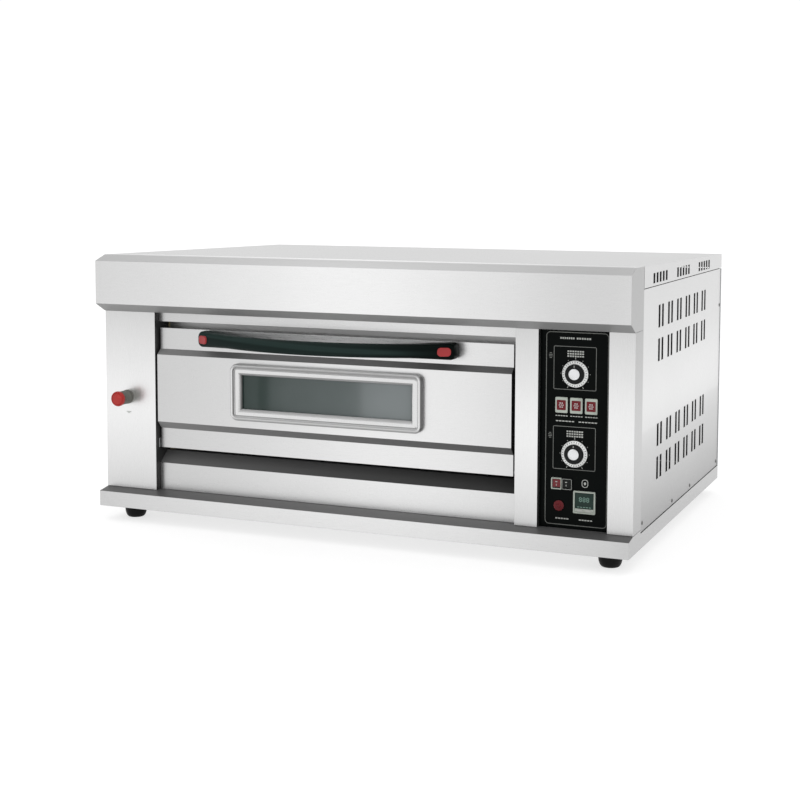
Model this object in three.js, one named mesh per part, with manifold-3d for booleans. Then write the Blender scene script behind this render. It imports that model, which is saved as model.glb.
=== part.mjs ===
// Commercial single-deck baking oven, gas fired, with a drop-down door and a control column.
// Millimetres, +Z up, +X to the right of a person facing the door, the door faces -Y.
// Origin: centre of the bounding box's footprint, on the surface that the feet stand on.
//
// The body group has its own datum: x = 0 at mid width, y = 0 at the pillars' front faces
// (growing to the rear) and z = 0 at the underside of the base frame.
import * as THREE from 'three';
import { mergeVertices } from 'three/addons/utils/BufferGeometryUtils.js';
import Module from 'manifold-3d';

const wasm = await Module();
wasm.setup();

// ---------------------------------------------------------------- driving dimensions
const BODY_WIDTH = 1300;
const BODY_DEPTH = 896;
const FOOT_HEIGHT = 35;
const SHEET = 1.2;
const GAP = 0.4;
const HALF_WIDTH = BODY_WIDTH / 2;

const SILL_REACH = 34;
const SILL_FRONT_TOP = 36;
const LEDGE_TOP = 41.5;
const LEDGE_DEPTH = 40;
const SKIRT_TOP = 34;
const BASE_SHEET = 1.5;

const HOOD_REACH = 40;
const HOOD_LIP_BACK = 4;
const HOOD_BOTTOM = 469;
const HOOD_LIP_TOP = 488;
const HOOD_FACE_TOP = 590;
const ROOF_FRONT_TOP = 603.5;
const ROOF_FALL = 12;
const ROOF_SEAM = 556;
const SIDE_SEAM = 65;
const SEAM = 2;
const PANEL_INSET = 1.6;

const LEFT_PILLAR_WIDTH = 138;
const MIDDLE_PILLAR = [388.7, 440];
const RIGHT_PILLAR_LEFT = 594;
const OPENING = [-HALF_WIDTH + LEFT_PILLAR_WIDTH, MIDDLE_PILLAR[0]];
const PILLAR_BOTTOM = 42;
const PILLAR_TOP = HOOD_BOTTOM - GAP;
const RETURN_DEPTH = 61;

const RECESS = 18;
const HEADER_BOTTOM = 446;
const LOWER_PANEL_TOP = 106.5;
const APRON_TOP = 132;
const APRON_BACK = 50;

const DOOR_LEFT = -507;
const DOOR_RIGHT = 380;
const DOOR_MIDDLE = (DOOR_LEFT + DOOR_RIGHT) / 2;
const DOOR_BOTTOM = 144;
const DOOR_TOP = 431;
const DOOR_FACE = 2;
const RAIL_FACE = 17;
const LOWER_RAIL_TOP = 191;
const FACE_BOTTOM = 208;
const FACE_TOP = 368.5;
const UPPER_RAIL_BOTTOM = 381;
const DOOR_RETURN = 46;
const DOOR_BACK = 60;
const HINGE_Y = 24;
const HINGE_Z = 152;
const HINGE_PIN_RADIUS = 4;

const WINDOW_SIZE = [479, 132];
const WINDOW_CLEAR = [426, 78];
const WINDOW_Z = 292;
const WINDOW_PROUD = 15;
const WINDOW_CORNER = 16;
const PANE_SIZE = [442, 94];
const PANE_THICKNESS = 4;

const HANDLE_Z = 412.5;
const HANDLE_HEIGHT = 36;
const HANDLE_REACH = 100;
const HANDLE_HALF = 318;
const HANDLE_DEPTH = 28;
const HANDLE_FOOT = 46;
const PLUG_X = 300;
const PLUG_Y = -29;
const PLUG_SIZE = [30, 19];

const PANEL_FACE = 15;
const PANEL_THICKNESS = 3;
const PANEL_X = [MIDDLE_PILLAR[1] + GAP, RIGHT_PILLAR_LEFT - GAP];
const DIAL_X = 517.5;
const DIAL_Z = { upper: 375, lower: 204 };
const DIAL_RADIUS = 28.5;
const GRIP_RADIUS = 19.5;
const CAP_RADIUS = 12;
const SPINDLE_RADIUS = 3;
const INDICATOR = { x: 520.6, z: 307.5, pitch: 32.6, width: 27, height: 33.5 };
const SWITCH = { x: 490.3, z: 138, width: 47, height: 25, pitch: 21.5 };
const TIMER = { x: 540.5, z: 101.5, size: 48.5 };
const BUZZER = { x: 484, z: 90.5, radius: 11 };

const CHAMBER = { x: [-497, 370], y: [63, 722], z: [176, 400] };
const DECK_THICKNESS = 3;
const INSULATION = { x: [-560, 399.3], y: [66, 765], z: [104, 500] };
const DIVIDER_X = 401;
const BURNER = { radius: 18, lowerZ: 140, upperZ: 428, y: [220, 520], left: -430, right: 462 };
const MANIFOLD = { x: 482, z: 284, radius: 11, inletEnd: 926 };
const FLUE = { x: [-113, -13], z: [408, 446], end: MANIFOLD.inletEnd };

const DAMPER = { x: -589, z: 263, rodRadius: 4, barrelRadius: 15.5, capRadius: 18 };
const DAMPER_PORT = { y: [480, 560], z: [235, 291], plate: -573 };
const BUSH_FACE = -6;
const BARREL_FACE = -38;
const CAP_FACE = -47;

const LOUVRE_BOTTOMS = [124, 198, 386.5, 461];
const LOUVRE = { width: 18, height: 50, firstY: 214.75, pitch: 90.5, pair: 32 };
const ROOF_VENT = { width: 17, height: 22, bottom: 562, starts: [154, 383, 618], pitch: 29, count: 5 };
const FOOT_INSET = [57, 35];

const BODY_CENTRE_Y = (MANIFOLD.inletEnd - HANDLE_REACH) / 2;

// ---------------------------------------------------------------- solids from three.js geometry
function toSolid(geometry) {
  const bare = new THREE.BufferGeometry();
  bare.setAttribute('position', geometry.getAttribute('position'));
  bare.setIndex(geometry.getIndex());
  const merged = mergeVertices(bare, 1e-4);
  const points = merged.getAttribute('position');
  const index = merged.getIndex().array;
  const corners = [new THREE.Vector3(), new THREE.Vector3(), new THREE.Vector3()];
  const triangles = [];
  let volume = 0;
  for (let i = 0; i < index.length; i += 3) {
    const [a, b, c] = [index[i], index[i + 1], index[i + 2]];
    if (a === b || b === c || c === a) continue;
    triangles.push(a, b, c);
    [a, b, c].forEach((vertex, k) => corners[k].fromBufferAttribute(points, vertex));
    volume += corners[0].dot(corners[1].clone().cross(corners[2]));
  }
  if (volume < 0) triangles.reverse();
  const mesh = new wasm.Mesh({
    numProp: 3,
    vertProperties: new Float32Array(points.array),
    triVerts: new Uint32Array(triangles),
  });
  return new wasm.Manifold(mesh);
}

function toGeometry(solid) {
  const mesh = solid.getMesh();
  const geometry = new THREE.BufferGeometry();
  geometry.setAttribute('position', new THREE.BufferAttribute(mesh.vertProperties, 3));
  geometry.setIndex(new THREE.BufferAttribute(mesh.triVerts, 1));
  return geometry;
}

function box(x, y, z) {
  const geometry = new THREE.BoxGeometry(x[1] - x[0], y[1] - y[0], z[1] - z[0]);
  geometry.translate((x[0] + x[1]) / 2, (y[0] + y[1]) / 2, (z[0] + z[1]) / 2);
  return toSolid(geometry);
}

function centredBox(x, width, y, z, height) {
  return box([x - width / 2, x + width / 2], y, [z - height / 2, z + height / 2]);
}

const ALONG_X = new THREE.Matrix4().set(0, 0, 1, 0, 1, 0, 0, 0, 0, 1, 0, 0, 0, 0, 0, 1);
const ALONG_Y = new THREE.Matrix4().makeRotationX(Math.PI / 2);
const ALONG_Z = new THREE.Matrix4();

function extrude(outline, span, frame) {
  const shape = outline instanceof THREE.Shape
    ? outline
    : new THREE.Shape(outline.map((p) => new THREE.Vector2(...p)));
  const options = { depth: span[1] - span[0], bevelEnabled: false, curveSegments: 4 };
  const geometry = new THREE.ExtrudeGeometry(shape, options);
  const start = frame === ALONG_Y ? -span[1] : span[0];
  geometry.translate(0, 0, start);
  geometry.applyMatrix4(frame);
  return toSolid(geometry);
}

// Outlines are [y, z] along X, [x, z] along Y and [x, y] along Z.
const prismX = (outline, x) => extrude(outline, x, ALONG_X);
const prismY = (outline, y) => extrude(outline, y, ALONG_Y);
const prismZ = (outline, z) => extrude(outline, z, ALONG_Z);

// A folded sheet's outline: the path of its outer face, and the same path set off to its left.
function fold(path, thickness = SHEET) {
  const points = path.map((p) => new THREE.Vector2(...p));
  const normals = points.slice(1).map((p, i) => {
    const along = p.clone().sub(points[i]).normalize();
    return new THREE.Vector2(-along.y, along.x);
  });
  const inner = points.map((p, i) => {
    const before = normals[Math.max(i - 1, 0)];
    const after = normals[Math.min(i, normals.length - 1)];
    const mitre = before.clone().add(after);
    return p.clone().addScaledVector(mitre, (2 * thickness) / mitre.lengthSq());
  });
  return [...path, ...inner.reverse().map((p) => [p.x, p.y])];
}

// A folded channel with closed ends: the path runs from one edge of its open side to the other.
function channel(path, x, thickness = SHEET) {
  const inner = fold(path, thickness).slice(path.length).reverse();
  const reachPast = (end, next) => {
    const [from, to] = [new THREE.Vector2(...end), new THREE.Vector2(...next)];
    const past = from.clone().sub(to).normalize();
    return from.add(past).toArray();
  };
  const last = inner.length - 1;
  const hollow = [
    reachPast(inner[0], inner[1]),
    ...inner.slice(1, last),
    reachPast(inner[last], inner[last - 1]),
  ];
  return cut(prismX(path, x), prismX(hollow, [x[0] + thickness, x[1] - thickness]));
}

function roundedRect(cx, cz, width, height, radius) {
  const [w, h] = [width / 2 - radius, height / 2 - radius];
  const shape = new THREE.Shape();
  shape.absarc(cx + w, cz + h, radius, 0, Math.PI / 2);
  shape.absarc(cx - w, cz + h, radius, Math.PI / 2, Math.PI);
  shape.absarc(cx - w, cz - h, radius, Math.PI, Math.PI * 1.5);
  shape.absarc(cx + w, cz - h, radius, Math.PI * 1.5, Math.PI * 2);
  shape.closePath();
  return shape;
}

// A turned piece: profile points are [radius, distance along the direction].
function turned(profile, direction, at = [0, 0, 0], sides = 16) {
  const geometry = new THREE.LatheGeometry(profile.map((p) => new THREE.Vector2(...p)), sides);
  const turn = new THREE.Quaternion().setFromUnitVectors(new THREE.Vector3(0, 1, 0), direction);
  geometry.applyQuaternion(turn);
  geometry.translate(...at);
  return toSolid(geometry);
}

const TO_FRONT = new THREE.Vector3(0, -1, 0);
const TO_REAR = new THREE.Vector3(0, 1, 0);
const TO_RIGHT = new THREE.Vector3(1, 0, 0);
const TO_LEFT = new THREE.Vector3(-1, 0, 0);
const UPWARD = new THREE.Vector3(0, 0, 1);

function rod(radius, length, direction, at, sides = 12) {
  return turned([[0, 0], [radius, 0], [radius, length], [0, length]], direction, at, sides);
}

function tubeAlong(points, radius, sides, steps) {
  const places = points.map((p) => new THREE.Vector3(...p));
  const path = new THREE.CatmullRomCurve3(places, false, 'catmullrom', 0.2);
  const section = new THREE.Shape();
  for (let i = 0; i < sides; i += 1) {
    const angle = (2 * Math.PI * i) / sides;
    const move = i === 0 ? 'moveTo' : 'lineTo';
    section[move](radius * Math.cos(angle), radius * Math.sin(angle));
  }
  section.closePath();
  return toSolid(new THREE.ExtrudeGeometry(section, { steps, extrudePath: path, bevelEnabled: false }));
}

const join = (...solids) => solids.reduce((whole, piece) => whole.add(piece));
const cut = (blank, ...tools) => tools.reduce((rest, tool) => rest.subtract(tool), blank);

// ---------------------------------------------------------------- finishes and scene graph
const FINISHES = {
  stainless: { color: 0xd9dadb, roughness: 0.3, metalness: 1 },
  galvanised: { color: 0xa9adaf, roughness: 0.5, metalness: 1 },
  blackSteel: { color: 0x2a2a2b, roughness: 0.6, metalness: 0.6 },
  brass: { color: 0xb08d46, roughness: 0.4, metalness: 1 },
  rubber: { color: 0x161616, roughness: 0.8, metalness: 0 },
  mineralWool: { color: 0xb9ad8b, roughness: 1, metalness: 0 },
  glass: { color: 0x66746f, roughness: 0.05, metalness: 0 },
  handleBlack: { color: 0x15201d, roughness: 0.25, metalness: 0 },
  red: { color: 0xb5302f, roughness: 0.35, metalness: 0 },
  fasciaBlack: { color: 0x0a0d0c, roughness: 0.15, metalness: 0 },
  lightGrey: { color: 0xc3c6c2, roughness: 0.4, metalness: 0 },
  blackPlastic: { color: 0x17191a, roughness: 0.4, metalness: 0 },
  satinMetal: { color: 0xd5d5d2, roughness: 0.3, metalness: 1 },
};

function addPiece(parent, name, solid, finish, position = [0, 0, 0]) {
  const material = new THREE.MeshStandardMaterial(FINISHES[finish]);
  const mesh = new THREE.Mesh(toGeometry(solid), material);
  mesh.name = name;
  mesh.position.set(...position);
  parent.add(mesh);
}

function addGroup(parent, position) {
  const group = new THREE.Group();
  group.position.set(...position);
  parent.add(group);
  return group;
}

const oven = new THREE.Group();
const body = addGroup(oven, [0, -BODY_CENTRE_Y, FOOT_HEIGHT]);

// Moving pieces are drawn in the body's datum and moved back by their group's own place.
function groupAt(position) {
  const group = addGroup(body, position);
  const back = position.map((value) => -value);
  return (name, solid, finish) => addPiece(group, name, solid, finish, back);
}

const addToBody = (name, solid, finish) => addPiece(body, name, solid, finish);

// ---------------------------------------------------------------- base and feet
const footPlaces = {
  front_left: [-HALF_WIDTH + FOOT_INSET[0], FOOT_INSET[1]],
  front_right: [HALF_WIDTH - FOOT_INSET[0], FOOT_INSET[1]],
  rear_left: [-HALF_WIDTH + FOOT_INSET[0], BODY_DEPTH - FOOT_INSET[0]],
  rear_right: [HALF_WIDTH - FOOT_INSET[0], BODY_DEPTH - FOOT_INSET[0]],
};
const FOOT_STUD_RADIUS = 5;

function baseFrame() {
  const outline = [
    [-SILL_REACH, 0],
    [-SILL_REACH, SILL_FRONT_TOP],
    [0, LEDGE_TOP],
    [SIDE_SEAM, LEDGE_TOP],
    [SIDE_SEAM, SKIRT_TOP],
    [BODY_DEPTH, SKIRT_TOP],
    [BODY_DEPTH, 0],
  ];
  const hollow = [
    [-SILL_REACH + BASE_SHEET, BASE_SHEET],
    [-SILL_REACH + BASE_SHEET, SILL_FRONT_TOP - BASE_SHEET],
    [0, LEDGE_TOP - BASE_SHEET],
    [LEDGE_DEPTH, LEDGE_TOP - BASE_SHEET],
    [LEDGE_DEPTH, LEDGE_TOP + 1],
    [BODY_DEPTH - BASE_SHEET, LEDGE_TOP + 1],
    [BODY_DEPTH - BASE_SHEET, BASE_SHEET],
  ];
  const shell = cut(
    prismX(outline, [-HALF_WIDTH, HALF_WIDTH]),
    prismX(hollow, [-HALF_WIDTH + BASE_SHEET, HALF_WIDTH - BASE_SHEET]),
  );
  const studHoles = Object.values(footPlaces).map(([x, y]) => (
    rod(FOOT_STUD_RADIUS + GAP, 6, UPWARD, [x, y, -2])
  ));
  return cut(shell, ...studHoles);
}

function foot() {
  const profile = [
    [0, 0],
    [17, 0],
    [19, 3],
    [26, FOOT_HEIGHT - 8],
    [26, FOOT_HEIGHT - GAP],
    [FOOT_STUD_RADIUS, FOOT_HEIGHT - GAP],
    [FOOT_STUD_RADIUS, FOOT_HEIGHT + 12],
    [0, FOOT_HEIGHT + 12],
  ];
  return turned(profile, UPWARD);
}

addToBody('base_frame', baseFrame(), 'stainless');
for (const [corner, [x, y]] of Object.entries(footPlaces)) {
  addPiece(body, `foot_${corner}`, foot(), 'rubber', [x, y, -FOOT_HEIGHT]);
}

// ---------------------------------------------------------------- pillars, header and lower front
const PILLAR_Z = [PILLAR_BOTTOM, PILLAR_TOP];
const damperHole = rod(DAMPER.rodRadius + 1, 10, TO_REAR, [DAMPER.x, -4, DAMPER.z]);
const leftPillarPath = [
  [OPENING[0], RETURN_DEPTH], [OPENING[0], 0], [-HALF_WIDTH, 0], [-HALF_WIDTH, SIDE_SEAM],
];
const middlePillarPath = [
  [MIDDLE_PILLAR[1], RETURN_DEPTH],
  [MIDDLE_PILLAR[1], 0],
  [MIDDLE_PILLAR[0], 0],
  [MIDDLE_PILLAR[0], RETURN_DEPTH],
];
const rightPillarPath = [
  [HALF_WIDTH, SIDE_SEAM], [HALF_WIDTH, 0], [RIGHT_PILLAR_LEFT, 0], [RIGHT_PILLAR_LEFT, 40],
];
const inward = (path) => fold(path.slice().reverse());
addToBody('pillar_left', cut(prismZ(inward(leftPillarPath), PILLAR_Z), damperHole), 'stainless');
addToBody('pillar_middle', prismZ(inward(middlePillarPath), PILLAR_Z), 'stainless');
addToBody('pillar_right', prismZ(inward(rightPillarPath), PILLAR_Z), 'stainless');

const FRONT_X = [OPENING[0] + GAP, OPENING[1] - GAP];
const headerPath = [[56, HEADER_BOTTOM], [RECESS, HEADER_BOTTOM], [RECESS, HOOD_BOTTOM - GAP]];
const lowerPanelPath = [[45, LEDGE_TOP + GAP], [RECESS, LEDGE_TOP + GAP], [RECESS, LOWER_PANEL_TOP]];
const apronFoot = RECESS + SHEET + GAP;
const apronPath = [
  [apronFoot, 90],
  [apronFoot, LOWER_PANEL_TOP],
  [APRON_BACK, APRON_TOP],
  [CHAMBER.y[0] - GAP, APRON_TOP],
];
addToBody('header_strip', prismX(inward(headerPath), FRONT_X), 'stainless');
addToBody('lower_front_panel', prismX(inward(lowerPanelPath), FRONT_X), 'stainless');
addToBody('slot_apron', prismX(inward(apronPath), FRONT_X), 'stainless');

// ---------------------------------------------------------------- hood, roof and outer panels
const roofTop = (y) => ROOF_FRONT_TOP - (ROOF_FALL * y) / BODY_DEPTH;

function hood() {
  const path = [
    [SIDE_SEAM, roofTop(SIDE_SEAM)],
    [0, ROOF_FRONT_TOP],
    [-HOOD_REACH, HOOD_FACE_TOP],
    [-HOOD_REACH, HOOD_LIP_TOP],
    [-HOOD_LIP_BACK, HOOD_BOTTOM],
    [SIDE_SEAM, HOOD_BOTTOM],
  ];
  return channel(path, [-HALF_WIDTH, HALF_WIDTH]);
}

function roofCover() {
  const front = SIDE_SEAM + SEAM;
  const back = BODY_DEPTH - SHEET;
  const outline = [
    [front, ROOF_SEAM],
    [BODY_DEPTH, ROOF_SEAM],
    [BODY_DEPTH, roofTop(BODY_DEPTH)],
    [front, roofTop(front)],
  ];
  const hollow = [
    [front - 1, ROOF_SEAM - 1],
    [back, ROOF_SEAM - 1],
    [back, roofTop(back) - SHEET],
    [front - 1, roofTop(front - 1) - SHEET],
  ];
  const shell = cut(
    prismX(outline, [-HALF_WIDTH, HALF_WIDTH]),
    prismX(hollow, [-HALF_WIDTH + SHEET, HALF_WIDTH - SHEET]),
  );
  const vents = [];
  for (const start of ROOF_VENT.starts) {
    for (let i = 0; i < ROOF_VENT.count; i += 1) {
      const y = start + i * ROOF_VENT.pitch - ROOF_VENT.width / 2;
      const z = [ROOF_VENT.bottom, ROOF_VENT.bottom + ROOF_VENT.height];
      vents.push(box([-HALF_WIDTH - 1, HALF_WIDTH + 1], [y, y + ROOF_VENT.width], z));
    }
  }
  return cut(shell, ...vents);
}

const PANEL_Y = [SIDE_SEAM + SEAM, BODY_DEPTH - SHEET - GAP];
const PANEL_Z = [SKIRT_TOP + GAP, ROOF_SEAM - SEAM];
const PANEL_OUTSIDE = HALF_WIDTH - PANEL_INSET;

function louvres() {
  const slots = [];
  for (const bottom of LOUVRE_BOTTOMS) {
    for (let i = 0; i < 6; i += 1) {
      for (const side of [0, LOUVRE.pair]) {
        const y = LOUVRE.firstY + i * LOUVRE.pitch + side - LOUVRE.width / 2;
        const throughPanel = [HALF_WIDTH - 9, HALF_WIDTH + 9];
        slots.push(box(throughPanel, [y, y + LOUVRE.width], [bottom, bottom + LOUVRE.height]));
      }
    }
  }
  return slots;
}

const pipeHole = rod(MANIFOLD.radius + 3, 20, TO_REAR, [MANIFOLD.x, BODY_DEPTH - 10, MANIFOLD.z]);
const glandPlace = [560, BODY_DEPTH, 90];
const GLAND_THREAD = 10;
const glandHole = rod(GLAND_THREAD + 1, 20, TO_REAR, [glandPlace[0], BODY_DEPTH - 10, glandPlace[2]]);
const flueBlock = (y, extra) =>
  box([FLUE.x[0] - extra, FLUE.x[1] + extra], y, [FLUE.z[0] - extra, FLUE.z[1] + extra]);
const flueHole = flueBlock([600, BODY_DEPTH + 10], 2);

addToBody('hood', hood(), 'stainless');
addToBody('roof_cover', roofCover(), 'stainless');
addToBody('side_panel_left', box([-PANEL_OUTSIDE, -PANEL_OUTSIDE + SHEET], PANEL_Y, PANEL_Z), 'stainless');
const rightPanelBlank = box([PANEL_OUTSIDE - SHEET, PANEL_OUTSIDE], PANEL_Y, PANEL_Z);
addToBody('side_panel_right', cut(rightPanelBlank, ...louvres()), 'stainless');
const rearPanelBlank = box([-HALF_WIDTH, HALF_WIDTH], [BODY_DEPTH - SHEET, BODY_DEPTH], PANEL_Z);
addToBody('rear_panel', cut(rearPanelBlank, pipeHole, glandHole, flueHole), 'galvanised');

// ---------------------------------------------------------------- baking chamber
const LAMP = { y: 420, z: 335, radius: 15.5 };
const PROBE_Y = 300;
const PROBE_Z = { upper: 388, lower: 196 };
const lampHole = rod(LAMP.radius + 1, 80, TO_RIGHT, [CHAMBER.x[1] - 20, LAMP.y, LAMP.z]);
const probeHoles = Object.values(PROBE_Z).map((z) => rod(5, 80, TO_RIGHT, [CHAMBER.x[1] - 20, PROBE_Y, z]));

function chamberLiner() {
  const blank = box(CHAMBER.x, CHAMBER.y, CHAMBER.z);
  const inside = CHAMBER.x.map((x, i) => x + (i ? -SHEET : SHEET));
  const height = CHAMBER.z.map((z, i) => z + (i ? -SHEET : SHEET));
  const front = [CHAMBER.y[0], CHAMBER.y[0] + SHEET];
  const flange = box([OPENING[0] + 4, OPENING[1] - 4], front, [150, HEADER_BOTTOM - 2]);
  const hollow = box(inside, [CHAMBER.y[0] - 1, CHAMBER.y[1] - SHEET], height);
  const ventX = [DAMPER_PORT.plate + 2.5, CHAMBER.x[0] + 1];
  const vent = box(ventX, DAMPER_PORT.y, DAMPER_PORT.z);
  const ventY = [DAMPER_PORT.y[0] + SHEET, DAMPER_PORT.y[1] - SHEET];
  const ventZ = [DAMPER_PORT.z[0] + SHEET, DAMPER_PORT.z[1] - SHEET];
  const ventBore = box([ventX[0] - 1, CHAMBER.x[0] + 5], ventY, ventZ);
  return cut(join(blank, flange, vent), hollow, ventBore, lampHole, ...probeHoles);
}

function insulationJacket() {
  const { x, y, z } = INSULATION;
  const blank = box(x, y, z);
  const burnerY = [y[0] - 1, CHAMBER.y[1] + 3];
  const burnerBox = box([CHAMBER.x[0] - 3, CHAMBER.x[1] + 2.5], burnerY, [z[0] - 1, 452]);
  const rightWall = [CHAMBER.x[1], x[1] + 1];
  const underRightWall = box(rightWall, burnerY, [z[0] - 1, CHAMBER.z[0]]);
  const notches = BURNER.y.map((at) => box(rightWall, [at - 22, at + 22], [BURNER.upperZ - 22, 452]));
  const tunnelY = DAMPER_PORT.y.map((at, i) => at + (i ? 2 : -2));
  const ventTunnel = box([x[0] - 1, CHAMBER.x[0]], tunnelY, [233, 293]);
  return cut(blank, burnerBox, underRightWall, ...notches, ventTunnel, flueHole, lampHole, ...probeHoles);
}

function dividerWall() {
  const blank = box([DIVIDER_X, DIVIDER_X + SHEET], [66, 860], [44, 540]);
  const holes = [BURNER.lowerZ, BURNER.upperZ].flatMap((z) =>
    BURNER.y.map((y) => rod(BURNER.radius + 3, 20, TO_RIGHT, [DIVIDER_X - 9, y, z])));
  return cut(blank, ...holes, lampHole, ...probeHoles);
}

const deckZ = CHAMBER.z[0] + SHEET + GAP;
const deckX = [CHAMBER.x[0] + 6, CHAMBER.x[1] - 6];
const deck = box(deckX, [CHAMBER.y[0] + 6, CHAMBER.y[1] - 6], [deckZ, deckZ + DECK_THICKNESS]);
addToBody('chamber_liner', chamberLiner(), 'stainless');
addToBody('deck_plate', deck, 'blackSteel');
addToBody('insulation_jacket', insulationJacket(), 'mineralWool');
addToBody('divider_wall', dividerWall(), 'galvanised');
const lampProfile = [[0, 0], [9, 2], [14, 9], [LAMP.radius, 16], [LAMP.radius, 62], [0, 62]];
addToBody('oven_lamp', turned(lampProfile, TO_RIGHT, [352, LAMP.y, LAMP.z]), 'glass');

// ---------------------------------------------------------------- burners, gas line and flue
const BURNER_WALL = 1.5;

function burner(z) {
  const [front, rear] = BURNER.y;
  const { left, right, radius } = BURNER;
  const bend = (rear - front) / 4;
  const pathFrom = (start) => [
    [start, front, z],
    [left + bend, front, z],
    [left, front + bend, z],
    [left, rear - bend, z],
    [left + bend, rear, z],
    [start, rear, z],
  ];
  const outside = tubeAlong(pathFrom(right), radius, 8, 18);
  const inside = tubeAlong(pathFrom(right + 2), radius - BURNER_WALL, 8, 18);
  return cut(outside, inside);
}

function gasManifold() {
  const { x, z, radius, inletEnd } = MANIFOLD;
  const [front, rear] = BURNER.y;
  const rail = rod(radius, inletEnd - front, TO_REAR, [x, front, z]);
  const riserLength = BURNER.upperZ - BURNER.lowerZ;
  const risers = [front, rear].map((y) => rod(9, riserLength, UPWARD, [x, y, BURNER.lowerZ]));
  const jets = [BURNER.lowerZ + 9, BURNER.upperZ - 9].flatMap((jetZ) =>
    [front, rear].map((y) => rod(6, x - BURNER.right - GAP, TO_LEFT, [x, y, jetZ])));
  const inletBore = rod(radius - 4, 60, TO_FRONT, [x, inletEnd + 2, z]);
  return cut(join(rail, ...risers, ...jets), inletBore);
}

function gasValve() {
  const { x, z, radius } = MANIFOLD;
  const blockSpan = [620, 700];
  const block = box([x - 32, x + 32], blockSpan, [z - 28, z + 28]);
  const coil = rod(20, 46, UPWARD, [x, 660, z + 27]);
  const bore = rod(radius + GAP, 120, TO_REAR, [x, 600, z]);
  return cut(join(block, coil), bore);
}

addToBody('burner_lower', burner(BURNER.lowerZ), 'stainless');
addToBody('burner_upper', burner(BURNER.upperZ), 'stainless');
addToBody('gas_manifold', gasManifold(), 'brass');
addToBody('gas_valve', gasValve(), 'satinMetal');
const flueWall = 2;
const flue = cut(flueBlock([CHAMBER.y[1] + 2, FLUE.end], 0), flueBlock([0, FLUE.end + 5], -flueWall));
addToBody('flue_duct', flue, 'galvanised');
addToBody('ignition_controller', box([556, 622], [300, 420], [BASE_SHEET + GAP, 92]), 'blackPlastic');
const glandProfile = [
  [0, -14],
  [GLAND_THREAD, -14],
  [GLAND_THREAD, GAP],
  [15, GAP],
  [15, 10],
  [12, 14],
  [11, 24],
  [6, 24],
  [6, 4],
  [0, 4],
];
addToBody('cable_gland', turned(glandProfile, TO_REAR, glandPlace, 12), 'blackPlastic');

// ---------------------------------------------------------------- control panel
const panelBack = PANEL_FACE + PANEL_THICKNESS;
const indicatorPlaces = [-1, 0, 1].map((step) => INDICATOR.x + step * INDICATOR.pitch);

function controlPanel() {
  const blank = box(PANEL_X, [PANEL_FACE, panelBack], [PILLAR_BOTTOM, PILLAR_TOP]);
  const through = [PANEL_FACE - 5, panelBack + 5];
  const spindles = Object.values(DIAL_Z).map((z) => rod(SPINDLE_RADIUS + 1, 20, TO_REAR, [DIAL_X, 5, z]));
  const windows = indicatorPlaces.map((x) =>
    centredBox(x, INDICATOR.width - 4, through, INDICATOR.z, INDICATOR.height - 4));
  const switchHole = centredBox(SWITCH.x, SWITCH.width - 2, through, SWITCH.z, SWITCH.height - 2);
  const timerHole = centredBox(TIMER.x, TIMER.size - 2, through, TIMER.z, TIMER.size - 2);
  const buzzerHole = rod(9, 20, TO_REAR, [BUZZER.x, 5, BUZZER.z]);
  return cut(blank, ...spindles, ...windows, switchHole, timerHole, buzzerHole);
}

function indicatorLamp(x) {
  const { z, width, height } = INDICATOR;
  const bezel = centredBox(x, width, [11, PANEL_FACE - GAP], z, height);
  const housing = centredBox(x, width - 5, [PANEL_FACE - 2, 40], z, height - 5);
  return join(bezel, housing);
}

const THERMOSTAT_DEPTH = [panelBack + 3, 58];

function thermostat(level) {
  const dialZ = DIAL_Z[level];
  const probeZ = PROBE_Z[level];
  const bodyBlock = centredBox(DIAL_X, 42, THERMOSTAT_DEPTH, dialZ, 46);
  const spindle = rod(SPINDLE_RADIUS, 18, TO_REAR, [DIAL_X, 7, dialZ]);
  const route = [
    [DIAL_X, THERMOSTAT_DEPTH[1] - 4, dialZ],
    [DIAL_X - 40, 110, (dialZ + probeZ) / 2],
    [430, 190, probeZ],
    [425, PROBE_Y, probeZ],
    [368, PROBE_Y, probeZ],
  ];
  const capillary = tubeAlong(route, 1.5, 6, 14);
  const bulb = rod(4, 60, TO_RIGHT, [356, PROBE_Y, probeZ], 8);
  return join(bodyBlock, spindle, capillary, bulb);
}

const ROCKER_PIVOT_Y = 21;
const rockerPlaces = { power: SWITCH.x - SWITCH.pitch / 2, lamp: SWITCH.x + SWITCH.pitch / 2 };

function switchFrame() {
  const bezel = centredBox(SWITCH.x, SWITCH.width, [11.5, PANEL_FACE - GAP], SWITCH.z, SWITCH.height);
  const housing = centredBox(SWITCH.x, SWITCH.width - 3, [PANEL_FACE - 2, 44], SWITCH.z, SWITCH.height - 3);
  const pockets = Object.values(rockerPlaces).map((x) => centredBox(x, 18.6, [5, 32], SWITCH.z, 20.4));
  return cut(join(bezel, housing), ...pockets);
}

// A rocker's rest position has its upper end pressed in; turning it brings the lower end in.
const ROCKER_TILT = THREE.MathUtils.degToRad(8);

function rocker(x) {
  const section = [[-11, 7.8], [7, 6], [7, -6], [-11, -7.8], [-9, 0]];
  const tilted = section.map(([y, z]) => [
    ROCKER_PIVOT_Y + y * Math.cos(ROCKER_TILT) + z * Math.sin(ROCKER_TILT),
    SWITCH.z - y * Math.sin(ROCKER_TILT) + z * Math.cos(ROCKER_TILT),
  ]);
  return prismX(tilted, [x - 8.6, x + 8.6]);
}

const KEY = { width: 13, height: 5.4, drop: 17.6, pitch: 18, front: 10 };
const keyPlaces = [TIMER.x - KEY.pitch / 2, TIMER.x + KEY.pitch / 2];

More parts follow.
